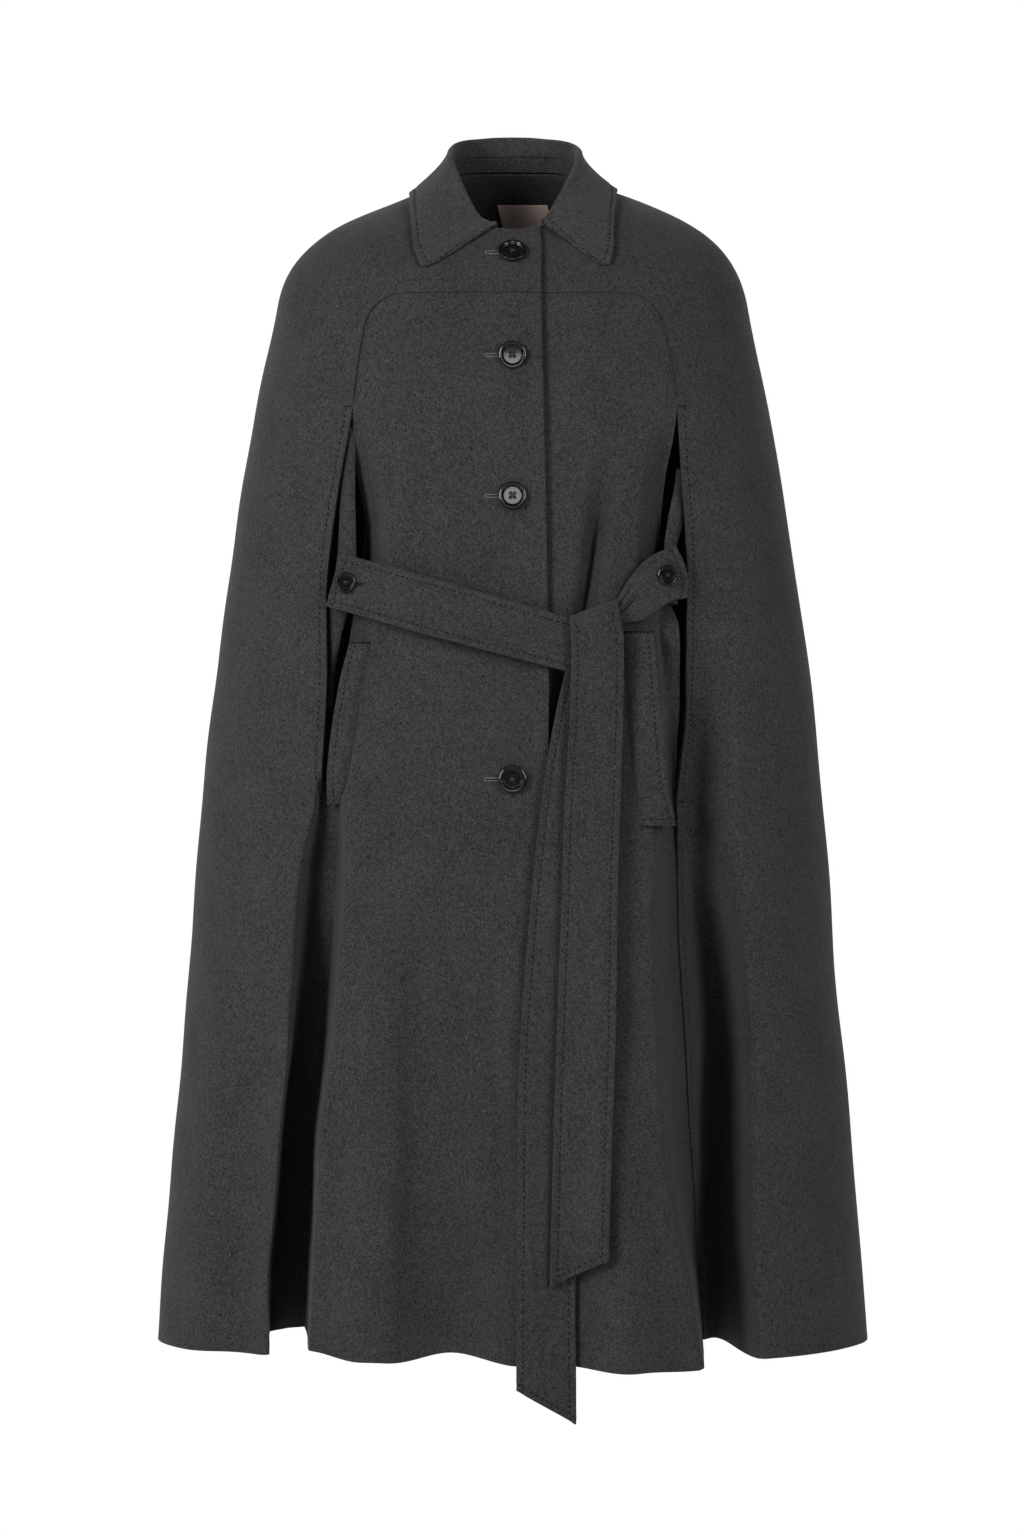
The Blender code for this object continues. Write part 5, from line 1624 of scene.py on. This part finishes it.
def make_floor():
    """A flat disc of rings round the coat's foot."""
    turn = np.arange(FLOOR_STEPS) * 2.0 * np.pi / FLOOR_STEPS
    rings = np.array(FLOOR_RINGS)[:, None]
    x = rings * np.cos(turn)
    points = np.stack([x, rings * np.sin(turn), np.full_like(x, FLOOR_Z)], axis=-1).reshape(-1, 3)
    faces = ring_faces(len(rings), FLOOR_STEPS)[:, ::-1].tolist() + fan(0, FLOOR_STEPS, len(points)).tolist()
    mesh = bpy.data.meshes.new("studio_floor")
    mesh.from_pydata(points.tolist() + [[0.0, 0.0, FLOOR_Z]], [], faces)
    material, tree, shader = new_material("pale_floor", Base_Color=PALE, Roughness=0.9)
    glow = add_node(tree, "ShaderNodeEmission", Strength=1.0)
    seen_as(tree, shader.outputs["BSDF"], glow.outputs["Emission"], "Material Output")
    mesh.materials.append(material)
    floor = bpy.data.objects.new("studio_floor", mesh)
    bpy.context.scene.collection.objects.link(floor)


def make_world():
    """White all round for the eye, and a dimmer white as fill light."""
    world = bpy.data.worlds.new("studio_white")
    world.use_nodes = True
    tree = world.node_tree
    fill = tree.nodes["Background"]
    fill.inputs["Color"].default_value = WHITE
    fill.inputs["Strength"].default_value = AMBIENT
    seen = add_node(tree, "ShaderNodeBackground", Color=WHITE, Strength=1.0)
    seen_as(tree, fill.outputs["Background"], seen.outputs["Background"], "World Output")
    bpy.context.scene.world = world


SoftLight = namedtuple("SoftLight", "name azimuth_deg elevation_deg width height power on_cloth")
SOFT_LIGHTS = rows(
    SoftLight,
    ("key_light_right", -42.0, 16.0, 1.1, 1.8, 90.0, True),
    ("key_light_left", 42.0, 16.0, 1.1, 1.8, 56.0, True),
    ("side_light_right", -88.0, 12.0, 1.4, 2.0, 24.0, True),
    ("side_light_left", 88.0, 12.0, 1.4, 2.0, 10.0, True),
    ("back_light_right", 150.0, 28.0, 1.8, 2.0, 40.0, True),
    ("back_light_left", -150.0, 28.0, 1.8, 2.0, 40.0, True),
    ("button_card", 0.0, 15.3, 1.0, 0.8, 19.0, False),
)
LIGHT_DISTANCE = 3.4
LIGHT_AIM_Z = -0.35


def make_lights():
    """Wide soft boxes on a circle round the coat, each turned to its middle."""
    for row in SOFT_LIGHTS:
        azimuth = math.radians(row.azimuth_deg)
        elevation = math.radians(row.elevation_deg)
        data = bpy.data.lights.new(row.name, "AREA")
        data.shape = "RECTANGLE"
        data.size = row.width
        data.size_y = row.height
        data.energy = row.power
        lamp = bpy.data.objects.new(row.name, data)
        level = LIGHT_DISTANCE * math.cos(elevation)
        height = LIGHT_AIM_Z + LIGHT_DISTANCE * math.sin(elevation)
        lamp.location = (level * math.sin(azimuth), -level * math.cos(azimuth), height)
        lamp.rotation_euler = (math.pi / 2.0 - elevation, 0.0, azimuth)
        lamp.visible_camera = False
        lamp.visible_diffuse = row.on_cloth
        bpy.context.scene.collection.objects.link(lamp)


def make_camera():
    """Level, straight ahead of the coat, at the photograph's distance and angle of view."""
    data = bpy.data.cameras.new("camera")
    data.sensor_width = SENSOR
    data.lens = SENSOR * FOCAL_PIXELS / IMAGE_HEIGHT
    data.clip_start = 0.05
    data.clip_end = 100.0
    camera = bpy.data.objects.new("camera", data)
    camera.location = CAMERA_PLACE
    camera.rotation_euler = (math.pi / 2.0, 0.0, 0.0)
    bpy.context.scene.collection.objects.link(camera)
    bpy.context.scene.camera = camera


make_floor()
make_world()
make_lights()
make_camera()
bpy.context.scene.view_settings.view_transform = "Standard"
bpy.context.scene.view_settings.gamma = DISPLAY_GAMMA
